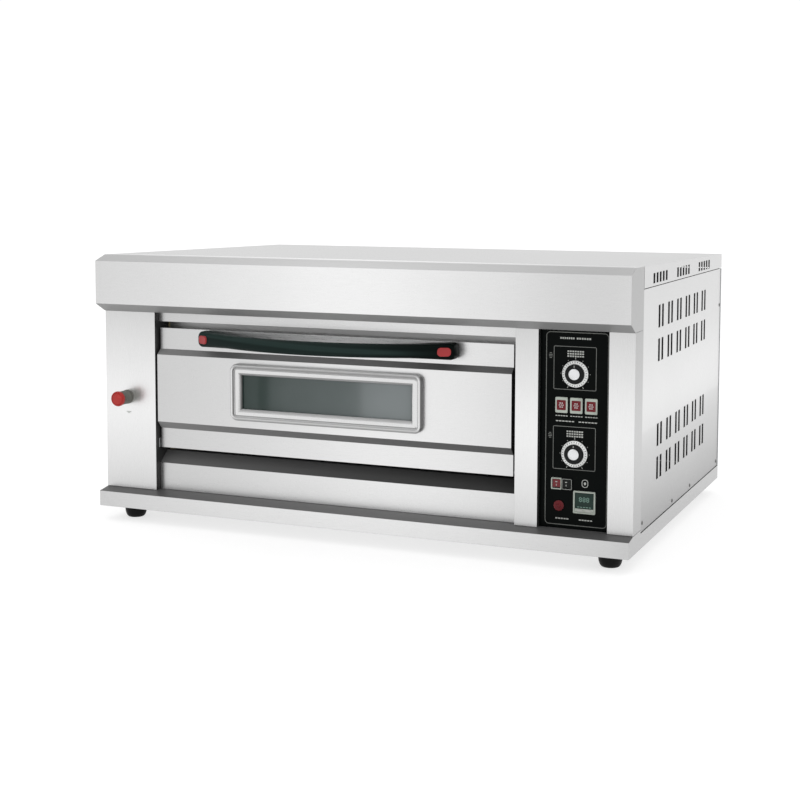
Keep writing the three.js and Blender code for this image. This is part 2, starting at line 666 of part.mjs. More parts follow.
function timerBody() {
  const bezel = centredBox(TIMER.x, TIMER.size, [11, PANEL_FACE - GAP], TIMER.z, TIMER.size);
  const housing = centredBox(TIMER.x, TIMER.size - 3, [PANEL_FACE - 2, 70], TIMER.z, TIMER.size - 3);
  const display = centredBox(TIMER.x, 40, [5, 12], TIMER.z + 5.5, 28);
  const keyZ = TIMER.z - KEY.drop;
  const keyWells = keyPlaces.map((x) => centredBox(x, KEY.width + 0.8, [5, 17], keyZ, KEY.height + 0.8));
  return cut(join(bezel, housing), display, ...keyWells);
}

function dial() {
  const profile = [
    [SPINDLE_RADIUS + GAP, 0],
    [DIAL_RADIUS, 0],
    [DIAL_RADIUS, 2],
    [DIAL_RADIUS - 1.5, 4],
    [GRIP_RADIUS + 1.5, 4.6],
    [GRIP_RADIUS, 10],
    [CAP_RADIUS + GAP, 10.5],
    [CAP_RADIUS + GAP, 9],
    [0, 9],
    [0, 8],
    [SPINDLE_RADIUS + GAP, 8],
    [SPINDLE_RADIUS + GAP, 0],
  ];
  return turned(profile, TO_FRONT, [0, 0, 0], 24);
}

function dialCap() {
  return turned([[0, 9 + GAP], [CAP_RADIUS, 9 + GAP], [CAP_RADIUS, 11.6], [CAP_RADIUS - 1, 12.4], [0, 12.4]],
    TO_FRONT, [0, 0, 0], 24);
}

addToBody('control_panel', controlPanel(), 'fasciaBlack');
['heating', 'ignition', 'alarm'].forEach((use, i) => {
  addToBody(`indicator_${use}`, indicatorLamp(indicatorPlaces[i]), 'lightGrey');
});
for (const [level, z] of Object.entries(DIAL_Z)) {
  addToBody(`thermostat_${level}`, thermostat(level), 'satinMetal');
  const dialGroup = addGroup(body, [DIAL_X, PANEL_FACE - GAP, z]);
  addPiece(dialGroup, `dial_${level}`, dial(), 'blackPlastic');
  addPiece(dialGroup, `dial_cap_${level}`, dialCap(), 'satinMetal');
}
addToBody('switch_frame', switchFrame(), 'lightGrey');
groupAt([rockerPlaces.power, ROCKER_PIVOT_Y, SWITCH.z])('rocker_power', rocker(rockerPlaces.power), 'red');
const addLampRocker = groupAt([rockerPlaces.lamp, ROCKER_PIVOT_Y, SWITCH.z]);
addLampRocker('rocker_lamp', rocker(rockerPlaces.lamp), 'blackPlastic');
addToBody('timer_body', timerBody(), 'lightGrey');
keyPlaces.forEach((x, i) => {
  const key = centredBox(x, KEY.width, [KEY.front, 14], TIMER.z - KEY.drop, KEY.height);
  groupAt([x, KEY.front, TIMER.z - KEY.drop])(`timer_key_${i + 1}`, key, 'lightGrey');
});
const buzzerProfile = [
  [0, -24],
  [8, -24],
  [8, GAP],
  [BUZZER.radius, GAP],
  [BUZZER.radius, 4],
  [9, 7],
  [0, 8.5],
];
addToBody('buzzer', turned(buzzerProfile, TO_FRONT, [BUZZER.x, PANEL_FACE, BUZZER.z]), 'red');

// ---------------------------------------------------------------- vent damper
function damperRod() {
  const { x, z, rodRadius, barrelRadius } = DAMPER;
  const barrel = rod(barrelRadius, BUSH_FACE - GAP - BARREL_FACE, TO_REAR, [x, BARREL_FACE, z], 20);
  const shaft = rod(rodRadius, DAMPER_PORT.y[1] + 10 - BUSH_FACE, TO_REAR, [x, BUSH_FACE - 5, z]);
  const plateY = [DAMPER_PORT.y[0] - 6, DAMPER_PORT.y[1] + 6];
  const plateX = [DAMPER_PORT.plate, DAMPER_PORT.plate + 1.5];
  const plate = box(plateX, plateY, [DAMPER_PORT.z[0] - 5, DAMPER_PORT.z[1] + 5]);
  const web = box([x, plateX[0] + 0.5], [plateY[0] + 20, plateY[1] - 20], [z - 3, z + 3]);
  return join(barrel, shaft, plate, web);
}

const damperAdd = groupAt([DAMPER.x, BUSH_FACE, DAMPER.z]);
const capLength = BARREL_FACE - GAP - CAP_FACE;
const damperCapProfile = [
  [0, 0],
  [DAMPER.capRadius, 0],
  [DAMPER.capRadius, capLength - 2],
  [DAMPER.capRadius - 2, capLength],
  [0, capLength],
];
const damperCap = turned(damperCapProfile, TO_FRONT, [DAMPER.x, BARREL_FACE - GAP, DAMPER.z], 20);
const bushBore = rod(DAMPER.rodRadius + 1, 20, TO_REAR, [DAMPER.x, -15, DAMPER.z]);
const bush = cut(rod(17, -GAP - BUSH_FACE, TO_REAR, [DAMPER.x, BUSH_FACE, DAMPER.z], 20), bushBore);
addToBody('damper_bush', bush, 'satinMetal');
damperAdd('damper_rod', damperRod(), 'satinMetal');
damperAdd('damper_cap', damperCap, 'red');

// ---------------------------------------------------------------- door
const doorProfile = [
  [DOOR_RETURN, DOOR_TOP],
  [RAIL_FACE, DOOR_TOP],
  [RAIL_FACE, UPPER_RAIL_BOTTOM],
  [DOOR_FACE, FACE_TOP],
  [DOOR_FACE, FACE_BOTTOM],
  [RAIL_FACE, LOWER_RAIL_TOP],
  [RAIL_FACE, DOOR_BOTTOM],
  [DOOR_RETURN, DOOR_BOTTOM],
];
const windowShape = (size, corner) => roundedRect(DOOR_MIDDLE, WINDOW_Z, ...size, corner);
const pinHole = rod(HINGE_PIN_RADIUS + GAP, BODY_WIDTH, TO_RIGHT, [-HALF_WIDTH, HINGE_Y, HINGE_Z]);

function doorSkin() {
  const shell = channel(doorProfile, [DOOR_LEFT, DOOR_RIGHT]);
  const paneHole = prismY(windowShape(PANE_SIZE.map((side) => side + 4), 3), [DOOR_FACE - 5, DOOR_FACE + 5]);
  return cut(shell, paneHole, pinHole);
}

function doorLiner() {
  const clear = SHEET + GAP;
  const x = [DOOR_LEFT + clear, DOOR_RIGHT - clear];
  const z = [DOOR_BOTTOM + clear, DOOR_TOP - clear];
  const inner = [x, z].map((span) => [span[0] + SHEET, span[1] - SHEET]);
  const blank = box(x, [36, DOOR_BACK], z);
  const hollow = box(inner[0], [30, DOOR_BACK - SHEET], inner[1]);
  const paneHole = prismY(windowShape([404, 66], 3), [DOOR_BACK - 5, DOOR_BACK + 5]);
  return cut(blank, hollow, paneHole);
}

function doorInsulation() {
  const clear = 2 * SHEET + 2 * GAP;
  const x = [DOOR_LEFT + clear, DOOR_RIGHT - clear];
  const z = [DOOR_BOTTOM + clear, DOOR_TOP - clear];
  const blank = box(x, [RAIL_FACE + SHEET + GAP, DOOR_BACK - SHEET - GAP], z);
  const tunnel = prismY(windowShape(PANE_SIZE.map((side) => side + 2), 3), [0, DOOR_BACK]);
  return cut(blank, tunnel);
}

function windowFrame() {
  const front = DOOR_FACE - WINDOW_PROUD;
  const back = DOOR_FACE - GAP;
  const outer = prismY(windowShape(WINDOW_SIZE, WINDOW_CORNER), [front + 5, back]);
  const beadOutline = windowShape(WINDOW_SIZE.map((side) => side - 10), WINDOW_CORNER - 5);
  const bead = prismY(beadOutline, [front, front + 6]);
  const bevel = prismY(windowShape(WINDOW_CLEAR.map((side) => side + 16), 8), [front - 1, front + 6]);
  const clear = prismY(windowShape(WINDOW_CLEAR, 3), [front - 5, back + 5]);
  return cut(join(outer, bead), bevel, clear);
}

const pane = (front) => prismY(windowShape(PANE_SIZE, 2), [front, front + PANE_THICKNESS]);

// The handle is drawn in plan: an outer and an inner bow between two feet on the upper rail.
const HANDLE_SEGMENTS = 12;

function bowPoints(halfSpan, endY, reach) {
  const rise = endY - reach;
  const radius = (halfSpan ** 2 + rise ** 2) / (2 * rise);
  return Array.from({ length: HANDLE_SEGMENTS + 1 }, (_, i) => {
    const x = halfSpan * ((2 * i) / HANDLE_SEGMENTS - 1);
    return [DOOR_MIDDLE + x, reach + radius - Math.sqrt(radius ** 2 - x ** 2)];
  });
}

const handleFootY = RAIL_FACE - GAP;

function handleBar() {
  const outer = bowPoints(PLUG_X + 12, PLUG_Y + 7, -HANDLE_REACH);
  const inner = bowPoints(HANDLE_HALF - HANDLE_FOOT, handleFootY, -HANDLE_REACH + HANDLE_DEPTH);
  const outline = [
    ...outer,
    [DOOR_MIDDLE + HANDLE_HALF, handleFootY],
    ...inner.reverse(),
    [DOOR_MIDDLE - HANDLE_HALF, handleFootY],
  ];
  const bar = prismZ(outline, [HANDLE_Z - HANDLE_HEIGHT / 2, HANDLE_Z + HANDLE_HEIGHT / 2]);
  return cut(bar, handlePlug(-1, GAP, 6), handlePlug(1, GAP, 6));
}

function handlePlug(side, margin, depth) {
  const [width, height] = PLUG_SIZE.map((size) => size + 2 * margin);
  const geometry = new THREE.BoxGeometry(width, 2 * depth, height);
  geometry.rotateZ(side * THREE.MathUtils.degToRad(28));
  geometry.translate(DOOR_MIDDLE + side * PLUG_X, PLUG_Y, HANDLE_Z);
  return toSolid(geometry);
}

const PLUG_DEPTH = 5.4;
const addToDoor = groupAt([0, HINGE_Y, HINGE_Z]);
addToDoor('door_skin', doorSkin(), 'stainless');
addToDoor('door_liner', doorLiner(), 'stainless');
addToDoor('door_insulation', doorInsulation(), 'mineralWool');
addToDoor('window_frame', windowFrame(), 'stainless');
addToDoor('window_pane_outer', pane(DOOR_FACE + SHEET + GAP), 'glass');
addToDoor('window_pane_inner', pane(DOOR_BACK - SHEET - GAP - PANE_THICKNESS), 'glass');
addToDoor('door_handle', handleBar(), 'handleBlack');
addToDoor('handle_plug_left', handlePlug(-1, 0, PLUG_DEPTH), 'red');
addToDoor('handle_plug_right', handlePlug(1, 0, PLUG_DEPTH), 'red');

// Each hinge pin stands on a plate inside the opening and enters the door's end from the side.
function hingePin(wallX, doorX) {
  const side = Math.sign(doorX - wallX);
  const plateStart = wallX + side * GAP;
  const plateEnd = plateStart + side * 2;
  const plateX = [plateStart, plateEnd].sort((a, b) => a - b);
  const plate = box(plateX, [12, 40], [HINGE_Z - 8, HINGE_Z + 14]);
  const reach = Math.abs(doorX - plateStart) + 2.8;
  const pin = rod(HINGE_PIN_RADIUS, reach, side > 0 ? TO_RIGHT : TO_LEFT, [plateStart, HINGE_Y, HINGE_Z]);
  return join(plate, pin);
}

addToBody('hinge_pin_left', hingePin(OPENING[0], DOOR_LEFT), 'galvanised');
addToBody('hinge_pin_right', hingePin(OPENING[1], DOOR_RIGHT), 'galvanised');

export default oven;
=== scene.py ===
"""Commercial deck oven: finishes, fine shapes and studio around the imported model. Blender 4.5, metres."""

import math

import bmesh
import bpy
from mathutils import Matrix, Vector


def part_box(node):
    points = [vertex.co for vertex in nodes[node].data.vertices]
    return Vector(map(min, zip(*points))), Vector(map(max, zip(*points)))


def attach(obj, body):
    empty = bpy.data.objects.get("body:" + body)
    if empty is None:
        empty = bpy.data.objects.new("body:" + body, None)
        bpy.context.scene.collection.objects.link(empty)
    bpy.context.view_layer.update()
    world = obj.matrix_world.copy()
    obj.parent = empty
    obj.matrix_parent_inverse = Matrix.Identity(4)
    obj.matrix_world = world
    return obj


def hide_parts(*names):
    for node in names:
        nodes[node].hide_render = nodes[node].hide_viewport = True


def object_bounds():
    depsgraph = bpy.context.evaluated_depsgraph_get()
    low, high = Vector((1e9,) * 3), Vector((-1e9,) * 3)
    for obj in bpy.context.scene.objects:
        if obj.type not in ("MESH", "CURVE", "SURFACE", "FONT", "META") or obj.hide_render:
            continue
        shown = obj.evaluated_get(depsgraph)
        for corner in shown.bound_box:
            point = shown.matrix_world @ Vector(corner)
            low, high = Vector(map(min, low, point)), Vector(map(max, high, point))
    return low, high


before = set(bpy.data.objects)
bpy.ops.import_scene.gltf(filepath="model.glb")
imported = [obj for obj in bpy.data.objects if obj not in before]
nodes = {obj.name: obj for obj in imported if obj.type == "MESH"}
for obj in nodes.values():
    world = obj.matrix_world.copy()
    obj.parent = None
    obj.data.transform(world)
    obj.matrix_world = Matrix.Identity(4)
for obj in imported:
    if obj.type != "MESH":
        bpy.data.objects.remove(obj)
cad_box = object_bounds()
MM = 0.001
HALF_WIDTH = cad_box[1][0]


# ------------------------------------------------------------------ camera
CAMERA_PLACE = Vector((1.3988, -3.3997, 0.8186))
CAMERA_AZIMUTH = math.radians(23.17)
CAMERA_ELEVATION = math.radians(4.65)
CAMERA_ROLL = math.radians(0.11)
CAMERA_LENS = 66.7
CAMERA_SHIFT = -0.125


def make_camera():
    data = bpy.data.cameras.new("camera")
    data.lens = CAMERA_LENS
    data.shift_y = CAMERA_SHIFT
    camera = bpy.data.objects.new("camera", data)
    bpy.context.scene.collection.objects.link(camera)
    across = math.cos(CAMERA_ELEVATION)
    back = Vector((
        math.sin(CAMERA_AZIMUTH) * across,
        -math.cos(CAMERA_AZIMUTH) * across,
        math.sin(CAMERA_ELEVATION),
    ))
    turn = (-back).to_track_quat("-Z", "Y")
    camera.rotation_mode = "QUATERNION"
    camera.rotation_quaternion = turn @ Matrix.Rotation(CAMERA_ROLL, 3, "Z").to_quaternion()
    camera.location = CAMERA_PLACE
    bpy.context.scene.camera = camera


# ------------------------------------------------------------------ mesh tools
def new_piece(name, verts, faces, material, body, slot=None, smooth=40.0, replaces=()):
    """A mesh piece that rides on a body. smooth is the angle in degrees under which edges shade smooth."""
    mesh = bpy.data.meshes.new(name)
    mesh.from_pydata([tuple(v) for v in verts], [], faces)
    tidy = bmesh.new()
    tidy.from_mesh(mesh)
    bmesh.ops.remove_doubles(tidy, verts=tidy.verts, dist=1e-6)
    bmesh.ops.recalc_face_normals(tidy, faces=tidy.faces)
    tidy.to_mesh(mesh)
    tidy.free()
    return register(name, mesh, material, body, smooth, replaces)


def register(name, mesh, material, body, smooth=40.0, replaces=()):
    piece = bpy.data.objects.new(name, mesh)
    bpy.context.scene.collection.objects.link(piece)
    mesh.materials.clear()
    mesh.materials.append(material)
    if smooth:
        mesh.shade_smooth()
        mesh.set_sharp_from_angle(angle=math.radians(smooth))
    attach(piece, body)
    if replaces:
        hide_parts(*replaces)
    return piece


class Shape:
    """Vertices and faces gathered from several small forms into one piece."""

    def __init__(self):
        self.verts = []
        self.faces = []

    def add(self, verts, faces):
        start = len(self.verts)
        self.verts += [Vector(v) for v in verts]
        self.faces += [tuple(start + i for i in f) for f in faces]
        return self

    def piece(self, name, material, body, **options):
        return new_piece(name, self.verts, self.faces, material, body, **options)


def rings_to_faces(ring_count, ring_size, close_start=True, close_end=True, loop=False):
    faces = []
    for i in range(ring_count - (0 if loop else 1)):
        a, b = i * ring_size, ((i + 1) % ring_count) * ring_size
        for j in range(ring_size):
            k = (j + 1) % ring_size
            faces.append((a + j, a + k, b + k, b + j))
    if close_start and not loop:
        faces.append(tuple(range(ring_size - 1, -1, -1)))
    if close_end and not loop:
        last = (ring_count - 1) * ring_size
        faces.append(tuple(range(last, last + ring_size)))
    return faces


def frame_of(direction):
    """Two directions square to the given one."""
    side = Vector((0, 0, 1)) if abs(direction.z) < 0.9 else Vector((1, 0, 0))
    u = side.cross(direction).normalized()
    return u, direction.cross(u).normalized()


def lathe(profile, place, direction, sides=48, ribs=None):
    """A turned form from (radius, distance) points. ribs(angle, radius, distance) gives a ribbed radius."""
    axis = Vector(direction).normalized()
    u, v = frame_of(axis)
    verts = []
    for radius, distance in profile:
        for k in range(sides):
            angle = 2 * math.pi * k / sides
            r = radius if ribs is None else ribs(angle, radius, distance)
            verts.append(Vector(place) + axis * distance + (u * math.cos(angle) + v * math.sin(angle)) * r)
    return verts, rings_to_faces(len(profile), sides)


def rounded_ring(cx, cz, width, height, radius, y, steps=6):
    """Points of a rounded rectangle in a plane of constant y."""
    radius = max(min(radius, width / 2 - 1e-6, height / 2 - 1e-6), 1e-6)
    points = []
    for quarter, (sx, sz) in enumerate(((1, 1), (-1, 1), (-1, -1), (1, -1))):
        for step in range(steps + 1):
            angle = math.pi / 2 * (quarter + step / steps)
            x = cx + sx * (width / 2 - radius) + radius * math.cos(angle)
            z = cz + sz * (height / 2 - radius) + radius * math.sin(angle)
            points.append(Vector((x, y, z)))
    return points


def stepped_block(cx, cz, width, height, radius, steps_of, corner_steps=6):
    """A rounded block whose rings are (inset, y) from its back to its front."""
    verts = []
    for inset, y in steps_of:
        verts += rounded_ring(cx, cz, width - 2 * inset, height - 2 * inset, radius - inset, y, corner_steps)
    return verts, rings_to_faces(len(steps_of), 4 * (corner_steps + 1))


def stepped_frame(cx, cz, width, height, radius, steps_of, corner_steps=8):
    """A closed picture frame whose section's corners are (inset, y)."""
    verts = []
    for inset, y in steps_of:
        verts += rounded_ring(cx, cz, width - 2 * inset, height - 2 * inset, radius - inset, y, corner_steps)
    return verts, rings_to_faces(len(steps_of), 4 * (corner_steps + 1), loop=True)


def turned_about(verts, place, axis, angle):
    turn = Matrix.Rotation(angle, 4, Vector(axis))
    place = Vector(place)
    return [turn @ (v - place) + place for v in verts]


def middle(node):
    lo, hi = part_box(node)
    return (lo + hi) / 2


# ------------------------------------------------------------------ material tools
class Nodes:
    """Short calls for building a node tree."""

    def __init__(self, name):
        self.material = bpy.data.materials.new(name)
        self.material.use_nodes = True
        self.tree = self.material.node_tree
        self.shader = next(n for n in self.tree.nodes if n.type == "BSDF_PRINCIPLED")

    def node(self, kind, **inputs):
        made = self.tree.nodes.new(kind)
        for key, value in inputs.items():
            socket = made.inputs[int(key[1:])] if key[0] == "i" and key[1:].isdigit() else made.inputs[key]
            self.put(socket, value)
        return made

    def put(self, socket, value):
        if isinstance(value, bpy.types.NodeSocket):
            self.tree.links.new(value, socket)
        elif (hasattr(value, "__len__") and len(value) == 3
              and len(getattr(socket, "default_value", (0, 0, 0))) == 4):
            socket.default_value = (*value, 1)
        else:
            socket.default_value = value

    def set(self, **values):
        for key, value in values.items():
            self.put(self.shader.inputs[key.replace("_", " ")], value)
        return self

    def coords(self, scale=(1, 1, 1)):
        base = self.node("ShaderNodeTexCoord").outputs["Object"]
        return self.node("ShaderNodeMapping", Vector=base, Scale=scale).outputs[0]

    def noise(self, scale, detail=3, stretch=(1, 1, 1), distortion=0.0, roughness=0.5):
        made = self.node("ShaderNodeTexNoise", Vector=self.coords(stretch), Scale=scale, Detail=detail,
                         Distortion=distortion, Roughness=roughness)
        return made.outputs[0]

    def math(self, operation, a, b=0.0, c=0.0):
        made = self.tree.nodes.new("ShaderNodeMath")
        made.operation = operation
        for socket, value in zip(made.inputs, (a, b, c)):
            self.put(socket, value)
        return made.outputs[0]

    def spread(self, value, low, high, to_low=0.0, to_high=1.0, smooth=True):
        made = self.tree.nodes.new("ShaderNodeMapRange")
        made.interpolation_type = "SMOOTHSTEP" if smooth else "LINEAR"
        for socket, number in zip(made.inputs, (value, low, high, to_low, to_high)):
            self.put(socket, number)
        return made.outputs[0]

    def stops(self, value, stops):
        """A smooth number that follows (place, number) stops."""
        low, high = stops[0][0], stops[-1][0]
        made = self.tree.nodes.new("ShaderNodeFloatCurve")
        curve = made.mapping.curves[0]
        points = [((place - low) / (high - low), number / 2) for place, number in stops]
        while len(curve.points) < len(points):
            curve.points.new(0.5, 0.5)
        for point, place in zip(curve.points, points):
            point.location = place
        made.mapping.update()
        self.put(made.inputs["Value"], self.spread(value, low, high, smooth=False))
        return self.math("MULTIPLY", made.outputs[0], 2.0)

    def mix_number(self, factor, a, b):
        made = self.tree.nodes.new("ShaderNodeMix")
        for socket, value in zip(made.inputs[:1] + made.inputs[2:4], (factor, a, b)):
            self.put(socket, value)
        return made.outputs[0]

    def mix(self, factor, a, b):
        made = self.tree.nodes.new("ShaderNodeMix")
        made.data_type = "RGBA"
        self.put(made.inputs[0], factor)
        self.put(made.inputs[6], a)
        self.put(made.inputs[7], b)
        return made.outputs[2]

    def bump(self, height, distance, strength=1.0):
        return self.node("ShaderNodeBump", Height=height, Distance=distance, Strength=strength).outputs[0]

    def normal_parts(self):
        normal = self.node("ShaderNodeTexCoord").outputs["Normal"]
        return self.node("ShaderNodeSeparateXYZ", Vector=normal).outputs

    def place_parts(self):
        place = self.node("ShaderNodeTexCoord").outputs["Object"]
        return self.node("ShaderNodeSeparateXYZ", Vector=place).outputs


GRAIN_STRETCH = {"x": (0.02, 1, 1), "y": (1, 0.02, 1), "z": (1, 1, 0.02)}


def steel(name, grain="x", tone=0.76, up=0.3, down=0.3, side=0.82, inner=0.05, roughness=0.3, along=None,
          rise=None, fold_along=None, all_up=False):
    """Brushed stainless sheet, with painted shade and painted reflection in its colour. up, down, side and
    inner are how bright its sloping folds, its outer cheeks and the edges inside an opening are painted
    beside its
    flats: painted shade below 1, painted light above 1. along and rise are stops of (place, brightness) along
    X and up Z, for painted soft bands of reflection and shade across a long sheet, and fold_along does the
    same for the painted shade of its folds. all_up counts faces that look straight up or down as folds too."""
    n = Nodes(name)
    grains = n.noise(1900, 3, GRAIN_STRETCH[grain], roughness=0.6)
    cloud = n.noise(2.6, 3, distortion=0.4)
    nx, ny, nz = n.normal_parts()[:3]
    # Masks for painted shade: sloping folds that face the front (with all_up, every face that slopes or looks
    # up or down), outer cheeks, and the edges inside openings.
    forward = 1.0 if all_up else n.spread(n.math("MULTIPLY", ny, -1), 0.07, 0.15)
    upward = n.math("MULTIPLY", n.spread(nz, 0.12, 0.3), forward)
    downward = n.math("MULTIPLY", n.spread(n.math("MULTIPLY", nz, -1), 0.12, 0.3), forward)
    sideways = n.spread(n.math("ABSOLUTE", nx), 0.5, 0.9)
    outside = n.spread(n.math("ABSOLUTE", n.place_parts()[0]), HALF_WIDTH - 0.02, HALF_WIDTH - 0.015)
    cheek = n.math("MULTIPLY", sideways, outside)
    return_face = n.math("MULTIPLY", sideways, n.math("SUBTRACT", 1.0, outside))
    # The sheet's own random cloudy tone and brushed grain.
    level = n.math("MULTIPLY", n.spread(cloud, 0.25, 0.75, 0.985, 1.015),
                   n.spread(grains, 0.3, 0.7, 0.975, 1.025))
    # Painted soft bands of reflection and shade along X and up Z.
    for socket, stops in ((0, along), (2, rise)):
        if stops:
            level = n.math("MULTIPLY", level, n.stops(n.place_parts()[socket], stops))
    # Painted shade of the folds, heavier or lighter along X.
    if fold_along:
        fold_level = n.stops(n.place_parts()[0], fold_along)
        up, down = n.math("MULTIPLY", fold_level, up), n.math("MULTIPLY", fold_level, down)
    # Painted shade on the folds, cheeks and inner edges; a share above 1 paints them lighter instead.
    for mask, share in ((upward, up), (downward, down), (cheek, side), (return_face, inner)):
        level = n.math("MULTIPLY", level, n.mix_number(mask, 1.0, share))
    level = n.math("MULTIPLY", level, tone)
    n.set(Base_Color=n.node("ShaderNodeCombineColor", i0=level, i1=level, i2=level).outputs[0])
    # Where the painted shade lies on folds and inner edges, the sheet is made less metallic and rougher so
    # its darkened colour shows.
    painted_shade_mask = n.math("MAXIMUM", n.math("MAXIMUM", upward, downward), return_face)
    n.set(Metallic=n.math("SUBTRACT", 1.0, n.math("MULTIPLY", painted_shade_mask, 0.85)), Specular_IOR_Level=0.25)
    rough = n.spread(grains, 0.3, 0.7, roughness - 0.03, roughness + 0.05)
    n.set(Roughness=n.math("ADD", rough, n.math("MULTIPLY", painted_shade_mask, 0.15)))
    n.set(Normal=n.bump(grains, 0.000012, 0.3))
    return n.material


def plastic(name, colour, roughness=0.3, grain=900, bump=0.00004, variation=0.12, specular=0.5):
    """Moulded plastic with a fine skin texture and a little unevenness of colour."""
    n = Nodes(name)
    skin = n.noise(grain, 2)
    cloud = n.noise(24, 3)
    dark = tuple(c * (1 - variation) for c in colour)
    light = tuple(min(1.0, c * (1 + variation)) for c in colour)
    n.set(Base_Color=n.mix(n.spread(cloud, 0.3, 0.7), dark, light))
    n.set(Roughness=n.spread(cloud, 0.3, 0.7, roughness * 0.85, roughness * 1.2))
    n.set(Normal=n.bump(skin, bump, 0.4), Specular_IOR_Level=specular)
    return n.material


def metal(name, colour, roughness=0.35, grain=600, stretch=(1, 1, 1), bump=0.00004, spots=0.1):
    """A plain metal with fine grain and soft stains."""
    n = Nodes(name)
    grains = n.noise(grain, 3, stretch)
    stains = n.noise(18, 4, distortion=0.3)
    worn = tuple(c * (1 - 2.5 * spots) for c in colour)
    n.set(Base_Color=n.mix(n.spread(stains, 0.35, 0.7), worn, colour), Metallic=1.0)
    n.set(Roughness=n.spread(grains, 0.3, 0.7, roughness * 0.8, roughness * 1.3))
    n.set(Normal=n.bump(grains, bump, 0.5))
    return n.material


def wool(name):
    n = Nodes(name)
    strands = n.noise(260, 6, (1, 1, 3), distortion=1.2)
    n.set(Base_Color=n.mix(strands, (0.28, 0.23, 0.12), (0.62, 0.55, 0.36)), Roughness=0.95)
    n.set(Normal=n.bump(strands, 0.002, 0.8))
    return n.material


def tinted_glass(name):
    """Dark tinted oven glass, with soft upright bands of what it mirrors painted into its colour as painted
    reflection.
    """
    n = Nodes(name)
    low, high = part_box("window_pane_outer")
    span = high.x - low.x
    # Painted reflection: upright bands of brightness across the pane, mixed into its base colour.
    painted_reflection_bands = [(0, 0.02), (0.09, 0.1), (0.13, 0.03), (0.2, 0.22), (0.45, 0.4), (0.66, 0.52), (0.74, 0.86),
             (1, 0.98)]
    along = n.stops(n.place_parts()[0], [(low.x + span * share, tone) for share, tone in painted_reflection_bands])
    haze = n.noise(9, 2)
    tone = n.math("ADD", along, n.spread(haze, 0.2, 0.8, -0.03, 0.03))
    n.set(Base_Color=n.mix(tone, (0.014, 0.03, 0.025), (0.2, 0.222, 0.225)))
    n.set(Roughness=n.spread(haze, 0.3, 0.7, 0.05, 0.09), Specular_IOR_Level=0.3)
    n.set(Alpha=0.96)
    return n.material


def resin(name):
    """Black moulded resin of the handle, with a painted soft highlight in its colour that fades out to
    painted shade towards its right end, and a pale painted highlight that runs down from its upper edge at
    the left."""
    n = Nodes(name)
    low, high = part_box("door_handle")
    # Painted highlight along X, fading to painted shade, near black, at the right end.
    painted_sheen = [(low.x, 0.75), (low.x * 0.4, 1.0), (0.0, 1.0), (high.x * 0.6, 0.3), (high.x, 0.0)]
    highlight_fade = [(low.x, 0.9), (low.x * 0.5, 0.7), (0.0, 0.75), (high.x * 0.4, 0.8), (high.x * 0.75, 0.2),
            (high.x, 0.0)]
    tone = n.stops(n.place_parts()[0], painted_sheen)
    skin = n.noise(400, 2)
    # Painted highlight: a pale band whose height follows this path along X and which fades out along X by the
    # stops above.
    painted_streak_path = [(low.x, 1.8), (low.x * 0.6, 1.55), (0.0, 1.05), (high.x * 0.6, 0.85), (high.x, 0.8)]
    painted_streak_z = n.stops(n.place_parts()[0], painted_streak_path)
    height = n.spread(n.place_parts()[2], low.z, high.z, 0.0, 2.0, smooth=False)
    away = n.math("ABSOLUTE", n.math("SUBTRACT", height, painted_streak_z))
    painted_streak = n.math("MULTIPLY", n.spread(away, 0.05, 0.5, 1.0, 0.0), n.stops(n.place_parts()[0], highlight_fade))
    tone = n.math("ADD", n.math("MULTIPLY", tone, 0.55), painted_streak)
    n.set(Base_Color=n.mix(n.math("MULTIPLY", tone, n.spread(skin, 0.3, 0.7, 0.92, 1.0)),
                           (0.0012, 0.003, 0.0026), (0.016, 0.028, 0.0255)))
    n.set(Roughness=n.spread(skin, 0.3, 0.7, 0.3, 0.36), Specular_IOR_Level=0.12, IOR=1.25)
    n.set(Normal=n.bump(skin, 0.000002, 0.3))
    return n.material


def lens(name, colour):
    n = Nodes(name)
    facets = n.noise(500, 2)
    n.set(Base_Color=n.mix(n.spread(facets, 0.3, 0.7), tuple(0.8 * c for c in colour), colour))
    n.set(Roughness=n.spread(facets, 0.3, 0.7, 0.2, 0.3), Specular_IOR_Level=0.25)
    n.set(Normal=n.bump(facets, 0.0001, 0.4))
    return n.material


